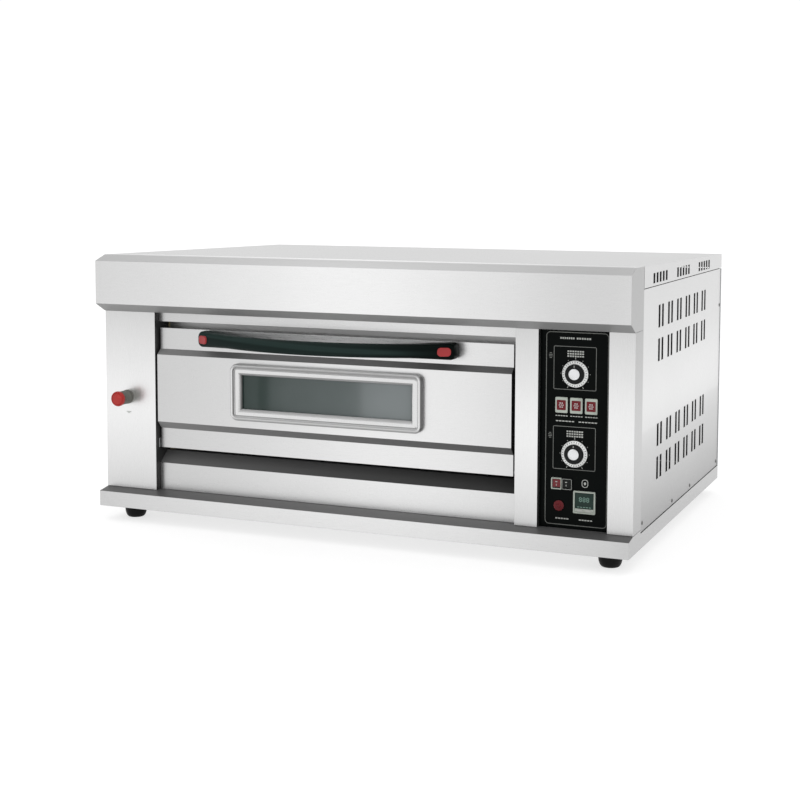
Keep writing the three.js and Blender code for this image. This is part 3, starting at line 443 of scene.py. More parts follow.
def make_materials():
    left, right = -HALF_WIDTH, HALF_WIDTH
    door_left, door_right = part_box("door_skin")[0].x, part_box("door_skin")[1].x
    floor_z, top_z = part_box("pillar_left")[0].z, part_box("pillar_left")[1].z
    mid_z = (floor_z + top_z) / 2
    # Stops of (place, brightness) that paint soft bands of reflection and shade into the stainless colour:
    # darker towards the ends of the hood, door, lower panel and base, darker at the pillars' foot and top,
    # darker low on the side panels, and heavier or lighter painted shade in the folds of the door, its header
    # and the apron below it.
    hood_painted_reflection = [(left, 0.81), (left * 0.4, 0.95), (0.0, 1.05), (right * 0.5, 0.93), (right * 0.9, 0.78)]
    hood_painted_reflection.append((right, 0.8))
    door_painted_reflection = [(door_left, 0.73), (door_left * 0.6, 0.8), (0.1, 0.98), (door_right, 0.86)]
    door_fold_painted_shade = [(door_left, 1.7), (door_left * 0.5, 1.1), (0.0, 0.75), (door_right, 0.6)]
    gap_shade = [(door_left, 0.1), (door_left + 0.09, 0.14), (door_left + 0.2, 0.75), (0.0, 1.0),
                 (door_right, 1.3)]
    apron_shade = [(door_left, 0.9), (0.0, 0.5), (door_right, 0.24)]
    base_painted_reflection = [(left, 0.74), (left * 0.4, 0.92), (0.0, 0.98), (right * 0.4, 0.94), (right * 0.8, 0.8)]
    base_painted_reflection.append((right, 0.7))
    post_painted_reflection = [(floor_z, 0.8), (floor_z + 0.12, 0.96), (mid_z, 1.02), (top_z - 0.1, 0.92), (top_z, 0.78)]
    side_painted_shade = [(floor_z, 0.46), (floor_z + 0.06, 0.6), (floor_z + 0.2, 0.9), (mid_z, 1.0), (top_z, 0.95)]
    side_painted_shade.append((top_z + 0.1, 0.92))
    # Each stainless below gets painted shade on its folds, outer cheeks and inner edges, set by up, down,
    # side and inner.
    return {
        "hood_steel": steel("stainless_hood", "x", up=0.64, down=0.4, side=0.62, along=hood_painted_reflection),
        "door_steel": steel("stainless_door", "x", up=0.26, down=0.25, along=door_painted_reflection,
                            fold_along=door_fold_painted_shade),
        "base_steel": steel("stainless_base", "x", up=0.16, down=0.5, side=0.84, along=base_painted_reflection,
                            all_up=True),
        "header_steel": steel("stainless_header", "x", tone=0.74, down=0.24, along=door_painted_reflection,
                              fold_along=gap_shade),
        "steel_x": steel("stainless_along_x", "x", tone=0.76, along=door_painted_reflection),
        "steel_z": steel("stainless_along_z", "z", side=0.64, rise=post_painted_reflection),
        # Side panels: a copy of the stainless set darker overall, as painted shade, and darker still low
        # down.
        "side_steel": steel("stainless_side", "z", tone=0.66, side=1.0, rise=side_painted_shade),
        # Roof: a darker copy of the stainless, as painted shade for its dimmer reflection, with its cheeks
        # painted lighter.
        "roof_steel": steel("stainless_roof", "y", tone=0.48, side=1.25),
        "steel_inner": steel("stainless_inside", "x", tone=0.4, roughness=0.4),
        # Slot apron under the door: a darker copy of the stainless, as painted shade, with more painted shade
        # on its folds towards the right.
        "apron": steel("stainless_apron", "x", tone=0.4, up=0.34, roughness=0.4, fold_along=apron_shade,
                       all_up=True),
        "frame_steel": steel("polished_frame", "x", tone=0.66, up=0.8, down=0.5, inner=0.2, roughness=0.22,
                             all_up=True),
        "galvanised": metal("galvanised_sheet", (0.46, 0.47, 0.48), 0.42, 160, spots=0.05),
        "satin": metal("satin_metal", (0.2, 0.2, 0.18), 0.32, 800),
        "screw": metal("zinc_screw", (0.16, 0.16, 0.155), 0.3, 900),
        "spun": metal("spun_aluminium", (0.72, 0.73, 0.74), 0.25, 1500, bump=0.00002, spots=0.02),
        "brass": metal("brass_pipe", (0.5, 0.35, 0.13), 0.32, 400),
        "black_steel": metal("blued_steel_plate", (0.05, 0.05, 0.052), 0.5, 120),
        "rubber": plastic("black_rubber", (0.004, 0.004, 0.004), 0.5, 700, 0.0001, specular=0.12),
        "handle": resin("black_resin"),
        "red": plastic("red_plastic", (0.3, 0.024, 0.026), 0.3, 600, specular=0.3),
        "red_bright": plastic("bright_red_plastic", (0.36, 0.022, 0.018), 0.25, 600, specular=0.3),
        "wine": plastic("wine_red_plastic", (0.13, 0.012, 0.016), 0.3, 600, specular=0.3),
        "red_lens": lens("red_lens", (0.13, 0.006, 0.011)),
        "fascia": plastic("black_fascia", (0.0018, 0.0026, 0.0024), 0.3, 500, 0.000008, specular=0.04),
        "print": plastic("grey_print", (0.16, 0.165, 0.155), 0.5, 800, 0.00001, specular=0.1),
        "print_light": plastic("light_print", (0.38, 0.39, 0.37), 0.5, 800, 0.00001, specular=0.1),
        "light_grey": plastic("light_grey_plastic", (0.36, 0.39, 0.35), 0.35, 800, specular=0.2),
        "white": plastic("dial_white", (0.7, 0.71, 0.7), 0.3, 700, 0.00002),
        "black": plastic("black_plastic", (0.006, 0.007, 0.007), 0.35, 800, specular=0.15),
        "lcd": plastic("display_window", (0.01, 0.026, 0.02), 0.2, 400, 0.00001, specular=0.2),
        "lcd_ink": plastic("display_segments", (0.2, 0.32, 0.27), 0.3, 400, 0.00001, specular=0.1),
        "wool": wool("mineral_wool"),
        "glass": tinted_glass("tinted_glass"),
        "lamp_glass": lens("lamp_glass", (0.7, 0.66, 0.5)),
    }


create = make_materials()

CAD_FINISH = {
    "hood_steel": "hood",
    "door_steel": "door_skin door_liner",
    "base_steel": "base_frame",
    "roof_steel": "roof_cover",
    "header_steel": "header_strip",
    "steel_x": "lower_front_panel",
    "steel_z": "pillar_left pillar_middle pillar_right",
    "side_steel": "side_panel_left side_panel_right",
    "steel_inner": "chamber_liner burner_lower burner_upper",
    "apron": "slot_apron",
    "galvanised": "rear_panel divider_wall flue_duct hinge_pin_left hinge_pin_right",
    "black_steel": "deck_plate",
    "brass": "gas_manifold",
    "wool": "insulation_jacket door_insulation",
    "glass": "window_pane_outer window_pane_inner",
    "lamp_glass": "oven_lamp",
    "fascia": "control_panel",
    "black": "ignition_controller",
    "satin": "gas_valve thermostat_upper thermostat_lower damper_rod damper_bush",
}
FOLD_RADIUS = 0.5 * MM
FLAT_ANGLE = math.radians(25)


def dress_cad_nodes():
    """Gives each shown CAD node its finish and rounds its edges as a press brake would."""
    for finish, names in CAD_FINISH.items():
        for name in names.split():
            node = nodes[name]
            node.data.materials.clear()
            node.data.materials.append(create[finish])
            node.modifiers.new("weld", "WELD").merge_threshold = 0.00002
            joined = node.modifiers.new("flats", "DECIMATE")
            joined.decimate_type = "DISSOLVE"
            joined.angle_limit = math.radians(1)
            rounding = node.modifiers.new("fold_radius", "BEVEL")
            rounding.width = FOLD_RADIUS
            rounding.segments = 2
            rounding.limit_method = "ANGLE"
            rounding.angle_limit = FLAT_ANGLE
            node.modifiers.new("normals", "WEIGHTED_NORMAL").keep_sharp = True
            node.data.shade_smooth()


# ------------------------------------------------------------------ door furniture
HANDLE_END_HEIGHT = 38 * MM
HANDLE_MID_HEIGHT = 31 * MM
HANDLE_STATIONS = 56
HANDLE_SIDES = 28


def bow(half_span, end_y, reach):
    rise = end_y - reach
    radius = (half_span**2 + rise**2) / (2 * rise)
    return lambda x: reach + radius - math.sqrt(max(radius**2 - x**2, 0))


def door_handle():
    lo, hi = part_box("door_handle")
    cx, cz = (lo.x + hi.x) / 2, (lo.z + hi.z) / 2
    half = (hi.x - lo.x) / 2
    outer = bow(half - 6 * MM, hi.y - 38.6 * MM, lo.y)
    inner = bow(half - 46 * MM, hi.y, lo.y + 28 * MM)
    verts = []
    for i in range(HANDLE_STATIONS + 1):
        share = i / HANDLE_STATIONS * 2 - 1
        x = half * math.sin(share * math.pi / 2)
        from_end = half - abs(x)
        round_off = math.sqrt(max(0.0, 1 - max(0.0, 1 - from_end / (10 * MM)) ** 2))
        front = outer(x)
        back = inner(x) if abs(x) < half - 46 * MM else hi.y
        y_mid, y_half = (front + back) / 2, (back - front) / 2
        near_end = max(0.0, 1 - from_end / (90 * MM))
        height = HANDLE_MID_HEIGHT + (HANDLE_END_HEIGHT - HANDLE_MID_HEIGHT) * near_end
        z_half = height / 2 * (0.6 + 0.4 * round_off)
        power = 2 / (2.5 + 2.0 * near_end)
        for k in range(HANDLE_SIDES):
            angle = 2 * math.pi * k / HANDLE_SIDES
            c, s = math.cos(angle), math.sin(angle)
            y = y_mid + math.copysign(abs(c) ** power, c) * y_half
            z = cz + math.copysign(abs(s) ** power, s) * z_half
            verts.append(Vector((cx + x, y, z)))
    faces = rings_to_faces(HANDLE_STATIONS + 1, HANDLE_SIDES)
    new_piece("handle_bow", verts, faces, create["handle"], "door", slot="handle_black", smooth=50,
              replaces=("door_handle",))


def handle_plugs():
    for side, name in ((-1, "left"), (1, "right")):
        at = middle(f"handle_plug_{name}")
        width, height = 30 * MM, 19 * MM
        steps_of = [(0, 5 * MM), (0, -1.6 * MM), (0.5 * MM, -2.2 * MM), (1.6 * MM, -2.5 * MM),
                    (3.5 * MM, -2.2 * MM)]
        verts, faces = stepped_block(0, 0, width, height, 8 * MM, steps_of)
        verts = turned_about(verts, (0, 0, 0), (0, 0, 1), side * math.radians(28))
        verts = [v + at for v in verts]
        new_piece(f"handle_cover_{name}", verts, faces, create["red"], "door", slot="red_plastic",
                  replaces=(f"handle_plug_{name}",))


def window_surround():
    lo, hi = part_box("window_frame")
    cx, cz = (lo.x + hi.x) / 2, (lo.z + hi.z) / 2
    back = hi.y
    section = [
        (0.0, 0.0), (0.0, -9.5), (0.9, -12.2), (2.6, -14.0), (4.8, -14.6), (7.0, -13.9), (8.6, -12.0),
        (9.2, -10.2), (10.4, -9.6), (12.0, -10.2), (13.0, -10.8), (20.2, -10.8), (21.4, -10.2), (26.0, -3.6),
        (26.5, -2.4), (26.5, 0.0),
    ]
    steps_of = [(inset * MM, back + y * MM) for inset, y in section]
    verts, faces = stepped_frame(cx, cz, hi.x - lo.x, hi.z - lo.z, 17 * MM, steps_of)
    new_piece("window_surround", verts, faces, create["frame_steel"], "door", slot="stainless", smooth=30,
              replaces=("window_frame",))


# ------------------------------------------------------------------ control column
PRINT_RISE = 0.25 * MM
DIAL_RIBS = 36
DIAL_MARKS = 11
DIAL_SWEEP = math.radians(300)
SCALE_MARKS = 30


def printed(shape, cx, cz, width, height, face, radius=0.4 * MM):
    """One raised dash of print on a face of constant y."""
    shape.add(*stepped_block(cx, cz, width, height, radius, [(0, face), (0, face - PRINT_RISE)], 2))


def printed_outline(shape, lo_x, hi_x, lo_z, hi_z, line, radius, face):
    section = [(0, face), (0, face - PRINT_RISE), (line, face - PRINT_RISE), (line, face)]
    size = (hi_x - lo_x, hi_z - lo_z)
    shape.add(*stepped_frame((lo_x + hi_x) / 2, (lo_z + hi_z) / 2, *size, radius, section, 5))


def tick(shape, centre, angle, inner, outer, width, face, rise=PRINT_RISE):
    """A radial mark of print, at an angle clockwise from straight down."""
    along = Vector((-math.sin(angle), 0, -math.cos(angle)))
    across = Vector((along.z, 0, -along.x)) * (width / 2)
    base = Vector((centre.x, 0, centre.z))
    ring = [base + along * inner - across, base + along * inner + across]
    ring += [base + along * outer + across, base + along * outer - across]
    verts = [Vector((v.x, face, v.z)) for v in ring] + [Vector((v.x, face - rise, v.z)) for v in ring]
    shape.add(verts, rings_to_faces(2, 4))


def dash_row(shape, cx, cz, width, height, dashes, gap, face):
    step = (width + gap) / dashes
    for i in range(dashes):
        printed(shape, cx - width / 2 + step * (i + 0.5) - gap / 2, cz, step - gap, height, face, 0.3 * MM)


def panel_print():
    lo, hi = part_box("control_panel")
    face = lo.y
    outline, marks = Shape(), Shape()
    edges = (lo.x + 12.3 * MM, hi.x - 4.4 * MM, lo.z + 7.2 * MM, hi.z - 5.2 * MM)
    printed_outline(outline, *edges, 1.5 * MM, 9 * MM, face)
    for name in ("upper", "lower"):
        dial = middle(f"dial_{name}")
        frame_z = (dial.z - 34.5 * MM, dial.z + 58.3 * MM)
        printed_outline(outline, dial.x - 48 * MM, dial.x + 45.5 * MM, *frame_z, 1.2 * MM, 3 * MM, face)
        for row in range(3):
            dash_row(marks, dial.x, dial.z + (37.3 + 5.2 * row) * MM, 36 * MM, 3 * MM, 7, 1.5 * MM, face)
        for i in range(DIAL_MARKS):
            angle = -DIAL_SWEEP / 2 + DIAL_SWEEP * i / (DIAL_MARKS - 1) + math.pi
            tick(marks, dial, angle, 31 * MM, (32.8 if i % 5 else 35.5) * MM, 1 * MM, face)
        for i, length in enumerate((5, 8, 8, 5)):
            printed(outline, dial.x - 54.6 * MM, dial.z + (32.4 + 3.4 * i) * MM, length * MM, 1.4 * MM, face)
    lamps = [middle(f"indicator_{name}") for name in ("heating", "ignition", "alarm")]
    for lamp in lamps:
        dash_row(marks, lamp.x, lamp.z - 23.2 * MM, 27 * MM, 1.8 * MM, 5, 1.4 * MM, face)
    for side in (-1, 1):
        dash_row(marks, lamps[1].x + side * 25 * MM, lamps[1].z - 34.5 * MM, 40 * MM, 2.2 * MM, 6, 1.6 * MM,
                 face)
    title_z = hi.z - 18.3 * MM
    for side, dashes in ((-1, 7), (1, 6)):
        dash_row(marks, (lo.x + hi.x) / 2 + side * 18 * MM, title_z, 31 * MM, 3.8 * MM, dashes, 1.6 * MM,
                 face)
    for node, shift in (("buzzer", 7 * MM), ("timer_body", 2.5 * MM)):
        dash_row(marks, middle(node).x + shift, lo.z + 21 * MM, 29 * MM, 2.6 * MM, 5, 1.5 * MM, face)
    icon_x, icon_z = middle("timer_body").x + 0.5 * MM, middle("switch_frame").z + 4 * MM
    icon_edges = (icon_x - 7 * MM, icon_x + 7 * MM, icon_z - 8.5 * MM, icon_z + 8.5 * MM)
    printed_outline(marks, *icon_edges, 1.3 * MM, 6 * MM, face)
    printed(marks, icon_x, icon_z, 5 * MM, 6 * MM, face, 2.4 * MM)
    outline.piece("panel_outline", create["print"], "oven_body", slot="light_grey", smooth=30)
    marks.piece("panel_marks", create["print_light"], "oven_body", slot="light_grey", smooth=30)


def dials():
    for name in ("upper", "lower"):
        body = f"dial_{name}_body"
        lo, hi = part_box(f"dial_{name}")
        cap_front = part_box(f"dial_cap_{name}")[0].y
        at = Vector(((lo.x + hi.x) / 2, hi.y, (lo.z + hi.z) / 2))
        skirt_radius = (hi.x - lo.x) / 2
        deep = hi.y - lo.y
        skirt = [(skirt_radius - 0.6 * MM, 0), (skirt_radius, 0.8 * MM), (skirt_radius, 2.6 * MM)]
        skirt += [(skirt_radius - 0.8 * MM, 3.6 * MM), (skirt_radius - 6.5 * MM, 4.8 * MM),
                  (12 * MM, 4.9 * MM)]
        ring = Shape().add(*lathe(skirt, at, (0, -1, 0), 64))
        ring.piece(f"dial_skirt_{name}", create["white"], body, slot="satin_metal",
                   replaces=(f"dial_{name}",))

        def rib(angle, radius, distance):
            return radius * (1 + 0.045 * math.copysign(abs(math.sin(DIAL_RIBS / 2 * angle)) ** 0.5, 1)
                             - 0.045)

        grip_radius = 21.5 * MM
        grip = [(grip_radius - 1 * MM, 4.2 * MM), (grip_radius, 5 * MM),
                (grip_radius - 0.6 * MM, deep - 1.4 * MM)]
        grip += [(grip_radius - 2 * MM, deep - 0.2 * MM), (14 * MM, deep), (13 * MM, deep - 0.9 * MM)]
        verts, faces = lathe(grip, at, (0, -1, 0), DIAL_RIBS * 4, rib)
        Shape().add(verts, faces).piece(f"dial_grip_{name}", create["black"], body, slot="black_plastic",
                                        smooth=35)
        top = at.y - cap_front
        cap = [(12 * MM, deep - 2 * MM), (12 * MM, top - 1.2 * MM), (11.2 * MM, top - 0.4 * MM),
               (9.8 * MM, top)]
        cap += [(9.2 * MM, top - 0.3 * MM), (3 * MM, top - 0.4 * MM)]
        Shape().add(*lathe(cap, at, (0, -1, 0), 48)).piece(
            f"dial_disc_{name}", create["spun"], body, slot="satin_metal", replaces=(f"dial_cap_{name}",))
        scale = Shape()
        for i in range(SCALE_MARKS):
            outer = skirt_radius - (2 if i % 3 else 1.4) * MM
            angle = 2 * math.pi * i / SCALE_MARKS
            tick(scale, at, angle, skirt_radius - 4.4 * MM, outer, 1.1 * MM, at.y - 3.6 * MM, 0.95 * MM)
        scale.piece(f"dial_scale_{name}", create["black"], body, slot="black_plastic", smooth=0)
        pointer = Shape()
        tick(pointer, at, math.pi, 14.5 * MM, 19 * MM, 1.3 * MM, at.y - deep + 0.05 * MM)
        pointer.piece(f"dial_pointer_{name}", create["print_light"], body, slot="light_grey", smooth=0)


def indicators():
    for name in ("heating", "ignition", "alarm"):
        node = f"indicator_{name}"
        lo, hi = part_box(node)
        at, face = middle(node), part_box("control_panel")[0].y
        width, height = hi.x - lo.x, hi.z - lo.z
        plate = [(0, face), (0, lo.y + 1.6 * MM), (0.5 * MM, lo.y + 1 * MM), (1.2 * MM, lo.y + 0.8 * MM)]
        Shape().add(*stepped_block(at.x, at.z, width, height, 2.2 * MM, plate, 4)).piece(
            f"lamp_frame_{name}", create["light_grey"], "oven_body", slot="light_grey", smooth=30,
            replaces=(node,))
        lens_steps = [(0, lo.y + 1.5 * MM), (0, lo.y + 0.6 * MM), (0.6 * MM, lo.y + 0.3 * MM)]
        lens_steps.append((2 * MM, lo.y + 0.2 * MM))
        Shape().add(*stepped_block(at.x, at.z, width - 7 * MM, height - 12 * MM, 1.5 * MM, lens_steps,
                                   4)).piece(
            f"lamp_lens_{name}", create["red_lens"], "oven_body", slot="red_plastic", smooth=40)
        mark = Shape()
        symbol_face = lo.y + 0.22 * MM
        for row, (count, row_width) in enumerate(((2, 7), (3, 10), (2, 7))):
            row_z = at.z + (row - 1) * 4.2 * MM
            dash_row(mark, at.x, row_z, row_width * MM, 1.6 * MM, count, 2 * MM, symbol_face)
        mark.piece(f"lamp_symbol_{name}", create["white"], "oven_body", slot="light_grey", smooth=0)


def rocker_form(node, material, dots):
    """A rocker with a dished face, and a dot or a dash pressed into its upper half."""
    lo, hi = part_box(node)
    at = middle(node)
    width, height = hi.x - lo.x, hi.z - lo.z
    columns, rows = 8, 12
    verts, faces = [], []
    for j in range(rows + 1):
        share_z = j / rows
        for i in range(columns + 1):
            share_x = i / columns
            edge = min(share_x, 1 - share_x, share_z * height / width, (1 - share_z) * height / width)
            round_off = (1 - min(1.0, edge / 0.12)) ** 2 * 0.9 * MM
            dish = 1.1 * MM * (1 - (2 * share_z - 1) ** 2) + 0.5 * MM * share_z
            verts.append(Vector((lo.x + width * share_x, lo.y + dish + round_off, lo.z + height * share_z)))
    front = len(verts)
    verts += [Vector((v.x, lo.y + 6 * MM, v.z)) for v in verts]
    at_index = lambda i, j, k=0: k * front + j * (columns + 1) + i
    for j in range(rows):
        for i in range(columns):
            quad = (at_index(i, j), at_index(i + 1, j), at_index(i + 1, j + 1), at_index(i, j + 1))
            faces += [quad, tuple(front + v for v in reversed(quad))]
    edge_loop = [at_index(i, 0) for i in range(columns)] + [at_index(columns, j) for j in range(rows)]
    edge_loop += ([at_index(columns - i, rows) for i in range(columns)]
                  + [at_index(0, rows - j) for j in range(rows)])
    for a, b in zip(edge_loop, edge_loop[1:] + edge_loop[:1]):
        faces.append((b, a, front + a, front + b))
    body = f"{node}_body"
    new_piece(f"{node}_face", verts, faces, material, body, slot=dots, smooth=50, replaces=(node,))
    mark = Shape()
    for k in range(2):
        mark.add(*stepped_block(at.x, at.z - 3.4 * MM + 6.8 * MM * k, (1.4 + 3 * k) * MM, (4 - 2 * k) * MM,
                                0.6 * MM, [(0, lo.y + 2 * MM), (0, lo.y + 0.62 * MM)], 2))
    mark.piece(f"{node}_mark", create["print_light"], body, slot="light_grey", smooth=0)


def switches():
    lo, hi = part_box("switch_frame")
    at, face = middle("switch_frame"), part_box("control_panel")[0].y
    halves = (("rocker_power", "light_grey", -1), ("rocker_lamp", "black", 1))
    for node, finish, side in halves:
        centre_x = (lo.x + at.x) / 2 if side < 0 else (hi.x + at.x) / 2
        half_width = (hi.x - lo.x) / 2 - 0.3 * MM
        rocker_lo, rocker_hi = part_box(node)
        rim = (half_width - (rocker_hi.x - rocker_lo.x)) / 2 - 0.35 * MM
        front = lo.y - face
        section = [(0, 0), (0, front + 0.6 * MM), (0.6 * MM, front), (rim - 0.6 * MM, front),
                   (rim, front + 0.5 * MM)]
        section.append((rim, 0))
        rings = [(inset, face + depth) for inset, depth in section]
        options = {"replaces": ("switch_frame",)} if side < 0 else {}
        Shape().add(*stepped_frame(centre_x, at.z, half_width, hi.z - lo.z, 2 * MM, rings, 4)).piece(
            f"switch_rim_{'left' if side < 0 else 'right'}", create[finish], "oven_body", slot="light_grey",
            smooth=30, **options)
    well = Shape()
    for node, _, _ in halves:
        rocker_lo, rocker_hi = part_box(node)
        centre = middle(node)
        size = (rocker_hi.x - rocker_lo.x + 2 * MM, rocker_hi.z - rocker_lo.z + 2 * MM)
        well.add(*stepped_block(centre.x, centre.z, *size, 1 * MM,
                                [(0, face - 0.05 * MM), (0, face - 0.3 * MM)], 2))
    well.piece("switch_wells", create["black"], "oven_body", slot="black_plastic", smooth=30)
    outline = Shape()
    right_x = (hi.x + at.x) / 2
    edges = (right_x - 10.5 * MM, right_x + 10.5 * MM, lo.z + 1.2 * MM, hi.z - 1.2 * MM)
    printed_outline(outline, *edges, 0.8 * MM, 2 * MM, lo.y + 0.1 * MM)
    outline.piece("switch_outline", create["print_light"], "oven_body", slot="light_grey", smooth=30)
    rocker_form("rocker_power", create["wine"], "red_plastic")
    rocker_form("rocker_lamp", create["black"], "black_plastic")


# The strokes of a digit: steps to the right and up from its middle, then whether it lies flat or stands.
SEGMENTS = (
    (0, 1, 1, 0), (-1, 0.5, 0, 1), (1, 0.5, 0, 1), (0, 0, 1, 0), (-1, -0.5, 0, 1), (1, -0.5, 0, 1),
    (0, -1, 1, 0),
)


def timer():
    lo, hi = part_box("timer_body")
    at, face = middle("timer_body"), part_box("control_panel")[0].y
    width, height = hi.x - lo.x, hi.z - lo.z
    front = lo.y
    rings = [(0, face), (0, front + 0.9 * MM), (0.9 * MM, front), (3 * MM, front),
             (3.4 * MM, front + 0.4 * MM)]
    rings += [(3.8 * MM, face - 1 * MM), (3.8 * MM, face)]
    Shape().add(*stepped_frame(at.x, at.z, width, height, 2.5 * MM, rings, 5)).piece(
        "timer_bezel", create["light_grey"], "oven_body", slot="light_grey", smooth=30,
        replaces=("timer_body",))
    key_lo, key_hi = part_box("timer_key_1")
    strip_top = key_hi.z + 1.6 * MM
    screen_low, screen_high = strip_top, hi.z - 4 * MM
    glass_steps = [(0, face), (0, front + 1 * MM), (0.6 * MM, front + 0.6 * MM)]
    inner_width = width - 7.8 * MM
    screen_size = (inner_width, screen_high - screen_low)
    Shape().add(*stepped_block(at.x, (screen_low + screen_high) / 2, *screen_size, 1 * MM, glass_steps,
                               3)).piece(
        "timer_screen", create["lcd"], "oven_body", slot="black_plastic", smooth=40)
    strip_low = lo.z + 3.8 * MM
    strip_size = (inner_width, strip_top - strip_low - 0.4 * MM)
    strip_steps = [(0, face), (0, front + 1.2 * MM), (0.5 * MM, front + 0.8 * MM)]
    Shape().add(*stepped_block(at.x, (strip_low + strip_top) / 2, *strip_size, 1 * MM, strip_steps, 3)).piece(
        "timer_strip", create["light_grey"], "oven_body", slot="light_grey", smooth=40)
    digits = Shape()
    digit_face = front + 0.62 * MM
    digit_z = (screen_low + screen_high) / 2 + 3 * MM
    half_w, half_h = 2.3 * MM, 4.4 * MM
    for place in (-1, 0, 1):
        for dx, dz, flat, upright in SEGMENTS:
            size = (3.2 * MM * flat + 1.2 * MM * upright, 1.2 * MM * flat + 3.4 * MM * upright)
            printed(digits, at.x + place * 8 * MM + dx * half_w, digit_z + dz * half_h, *size, digit_face,
                    0.5 * MM)
    dash_row(digits, at.x, screen_low + 3.4 * MM, 30 * MM, 1.2 * MM, 5, 2 * MM, digit_face)
    digits.piece("timer_digits", create["lcd_ink"], "oven_body", slot="light_grey", smooth=0)
    for number in (1, 2):
        node = f"timer_key_{number}"
        key_lo, key_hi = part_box(node)
        centre = middle(node)
        steps_of = [(0, key_hi.y), (0, key_lo.y + 0.5 * MM), (0.4 * MM, key_lo.y + 0.1 * MM),
                    (1 * MM, key_lo.y)]
        size = (key_hi.x - key_lo.x, key_hi.z - key_lo.z)
        Shape().add(*stepped_block(centre.x, centre.z, *size, 1.2 * MM, steps_of, 4)).piece(
            f"timer_button_{number}", create["print_light"], f"{node}_body", slot="light_grey", smooth=40,
            replaces=(node,))


def buzzer():
    lo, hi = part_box("buzzer")
    at, face = middle("buzzer"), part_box("control_panel")[0].y
    radius, reach = (hi.x - lo.x) / 2, face - lo.y
    place = Vector((at.x, face, at.z))
    profile = [(radius, 0), (radius, 2.4 * MM), (radius - 0.8 * MM, 3.4 * MM), (radius - 2.2 * MM, 3.8 * MM)]
    for ring in range(3):
        outer = radius - 2.6 * MM - ring * 2.6 * MM
        rise = reach - 3.2 * MM + ring * 1.3 * MM
        profile += [(outer, rise - 0.9 * MM), (outer - 0.4 * MM, rise), (outer - 1.4 * MM, rise)]
        profile += [(outer - 1.8 * MM, rise - 0.9 * MM)]

    def flute(angle, ring_radius, distance):
        return (ring_radius * (1 + 0.03 * math.cos(12 * angle)) if ring_radius > radius - 1 * MM
                else ring_radius)

    Shape().add(*lathe(profile, place, (0, -1, 0), 96, flute)).piece(
        "buzzer_grille", create["wine"], "oven_body", slot="red_plastic", smooth=35, replaces=("buzzer",))


# ------------------------------------------------------------------ damper, feet, gland, screws
def damper():
    at = middle("damper_cap")
    lo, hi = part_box("damper_cap")
    radius, length = (hi.x - lo.x) / 2, hi.y - lo.y
    base = Vector((at.x, hi.y, at.z))
    profile = [(radius - 1.5 * MM, 0), (radius - 0.3 * MM, 0.8 * MM), (radius, 2 * MM),
               (radius, length - 3 * MM)]
    profile += [(radius - 1 * MM, length - 1.1 * MM), (radius - 2.2 * MM, length - 0.6 * MM)]
    profile += [(radius - 3.4 * MM, length - 1.8 * MM), (radius - 4.4 * MM, length - 1.8 * MM)]
    profile += [(radius - 5.4 * MM, length - 0.3 * MM), (radius - 8 * MM, length), (3 * MM, length)]

    def rib(angle, ring_radius, distance):
        notch = 0.5 + 0.5 * math.cos(20 * angle)
        return ring_radius - (0.5 * MM * notch if ring_radius > radius - 0.2 * MM else 0)

    Shape().add(*lathe(profile, base, (0, -1, 0), 120, rib)).piece(
        "damper_button", create["red_bright"], "damper", slot="red_plastic", smooth=35,
        replaces=("damper_cap",))
    barrel_lo, barrel_hi = hi.y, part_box("damper_bush")[0].y
    sleeve = []
    steps = 26
    for i in range(steps + 1):
        sleeve.append((15.6 * MM + (0.45 * MM if i % 2 else 0),
                       (barrel_hi - barrel_lo - 1.6 * MM) * i / steps))

    def knurl(angle, ring_radius, distance):
        return ring_radius + 0.3 * MM * math.cos(36 * angle)

    base = Vector((at.x, barrel_hi - 0.8 * MM, at.z))
    verts, faces = lathe(sleeve, base, (0, -1, 0), 144, knurl)
    Shape().add(verts, faces).piece("damper_knurl", create["satin"], "damper", slot="satin_metal", smooth=25)
    mark = Shape()
    lo_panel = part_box("pillar_left")[0].y
    printed(mark, at.x + 2 * MM, at.z - 36 * MM, 13 * MM, 1.6 * MM, lo_panel, 0.5 * MM)
    printed(mark, at.x + 2 * MM, at.z - 39 * MM, 7 * MM, 1.4 * MM, lo_panel, 0.5 * MM)
    mark.piece("damper_label", create["light_grey"], "oven_body", slot="light_grey", smooth=0)


def feet():
    for name in ("front_left", "front_right", "rear_left", "rear_right"):
        node = f"foot_{name}"
        lo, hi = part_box(node)
        at = middle(node)
        radius = (hi.x - lo.x) / 2
        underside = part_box("base_frame")[0].z
        bowl = underside * 0.62
        profile = [(radius * (0.62 + 0.38 * math.sin(turn)), bowl * (1 - math.cos(turn)))
                   for turn in (math.pi / 2 * i / 8 for i in range(9))]
        profile += [(radius, underside - 1 * MM), (radius - 1 * MM, underside - 0.2 * MM)]
        profile += [(5 * MM, underside - 0.1 * MM), (5 * MM, hi.z)]
        Shape().add(*lathe(profile, (at.x, at.y, 0), (0, 0, 1), 48)).piece(
            f"foot_pad_{name}", create["rubber"], "oven_body", slot="rubber", smooth=40, replaces=(node,))


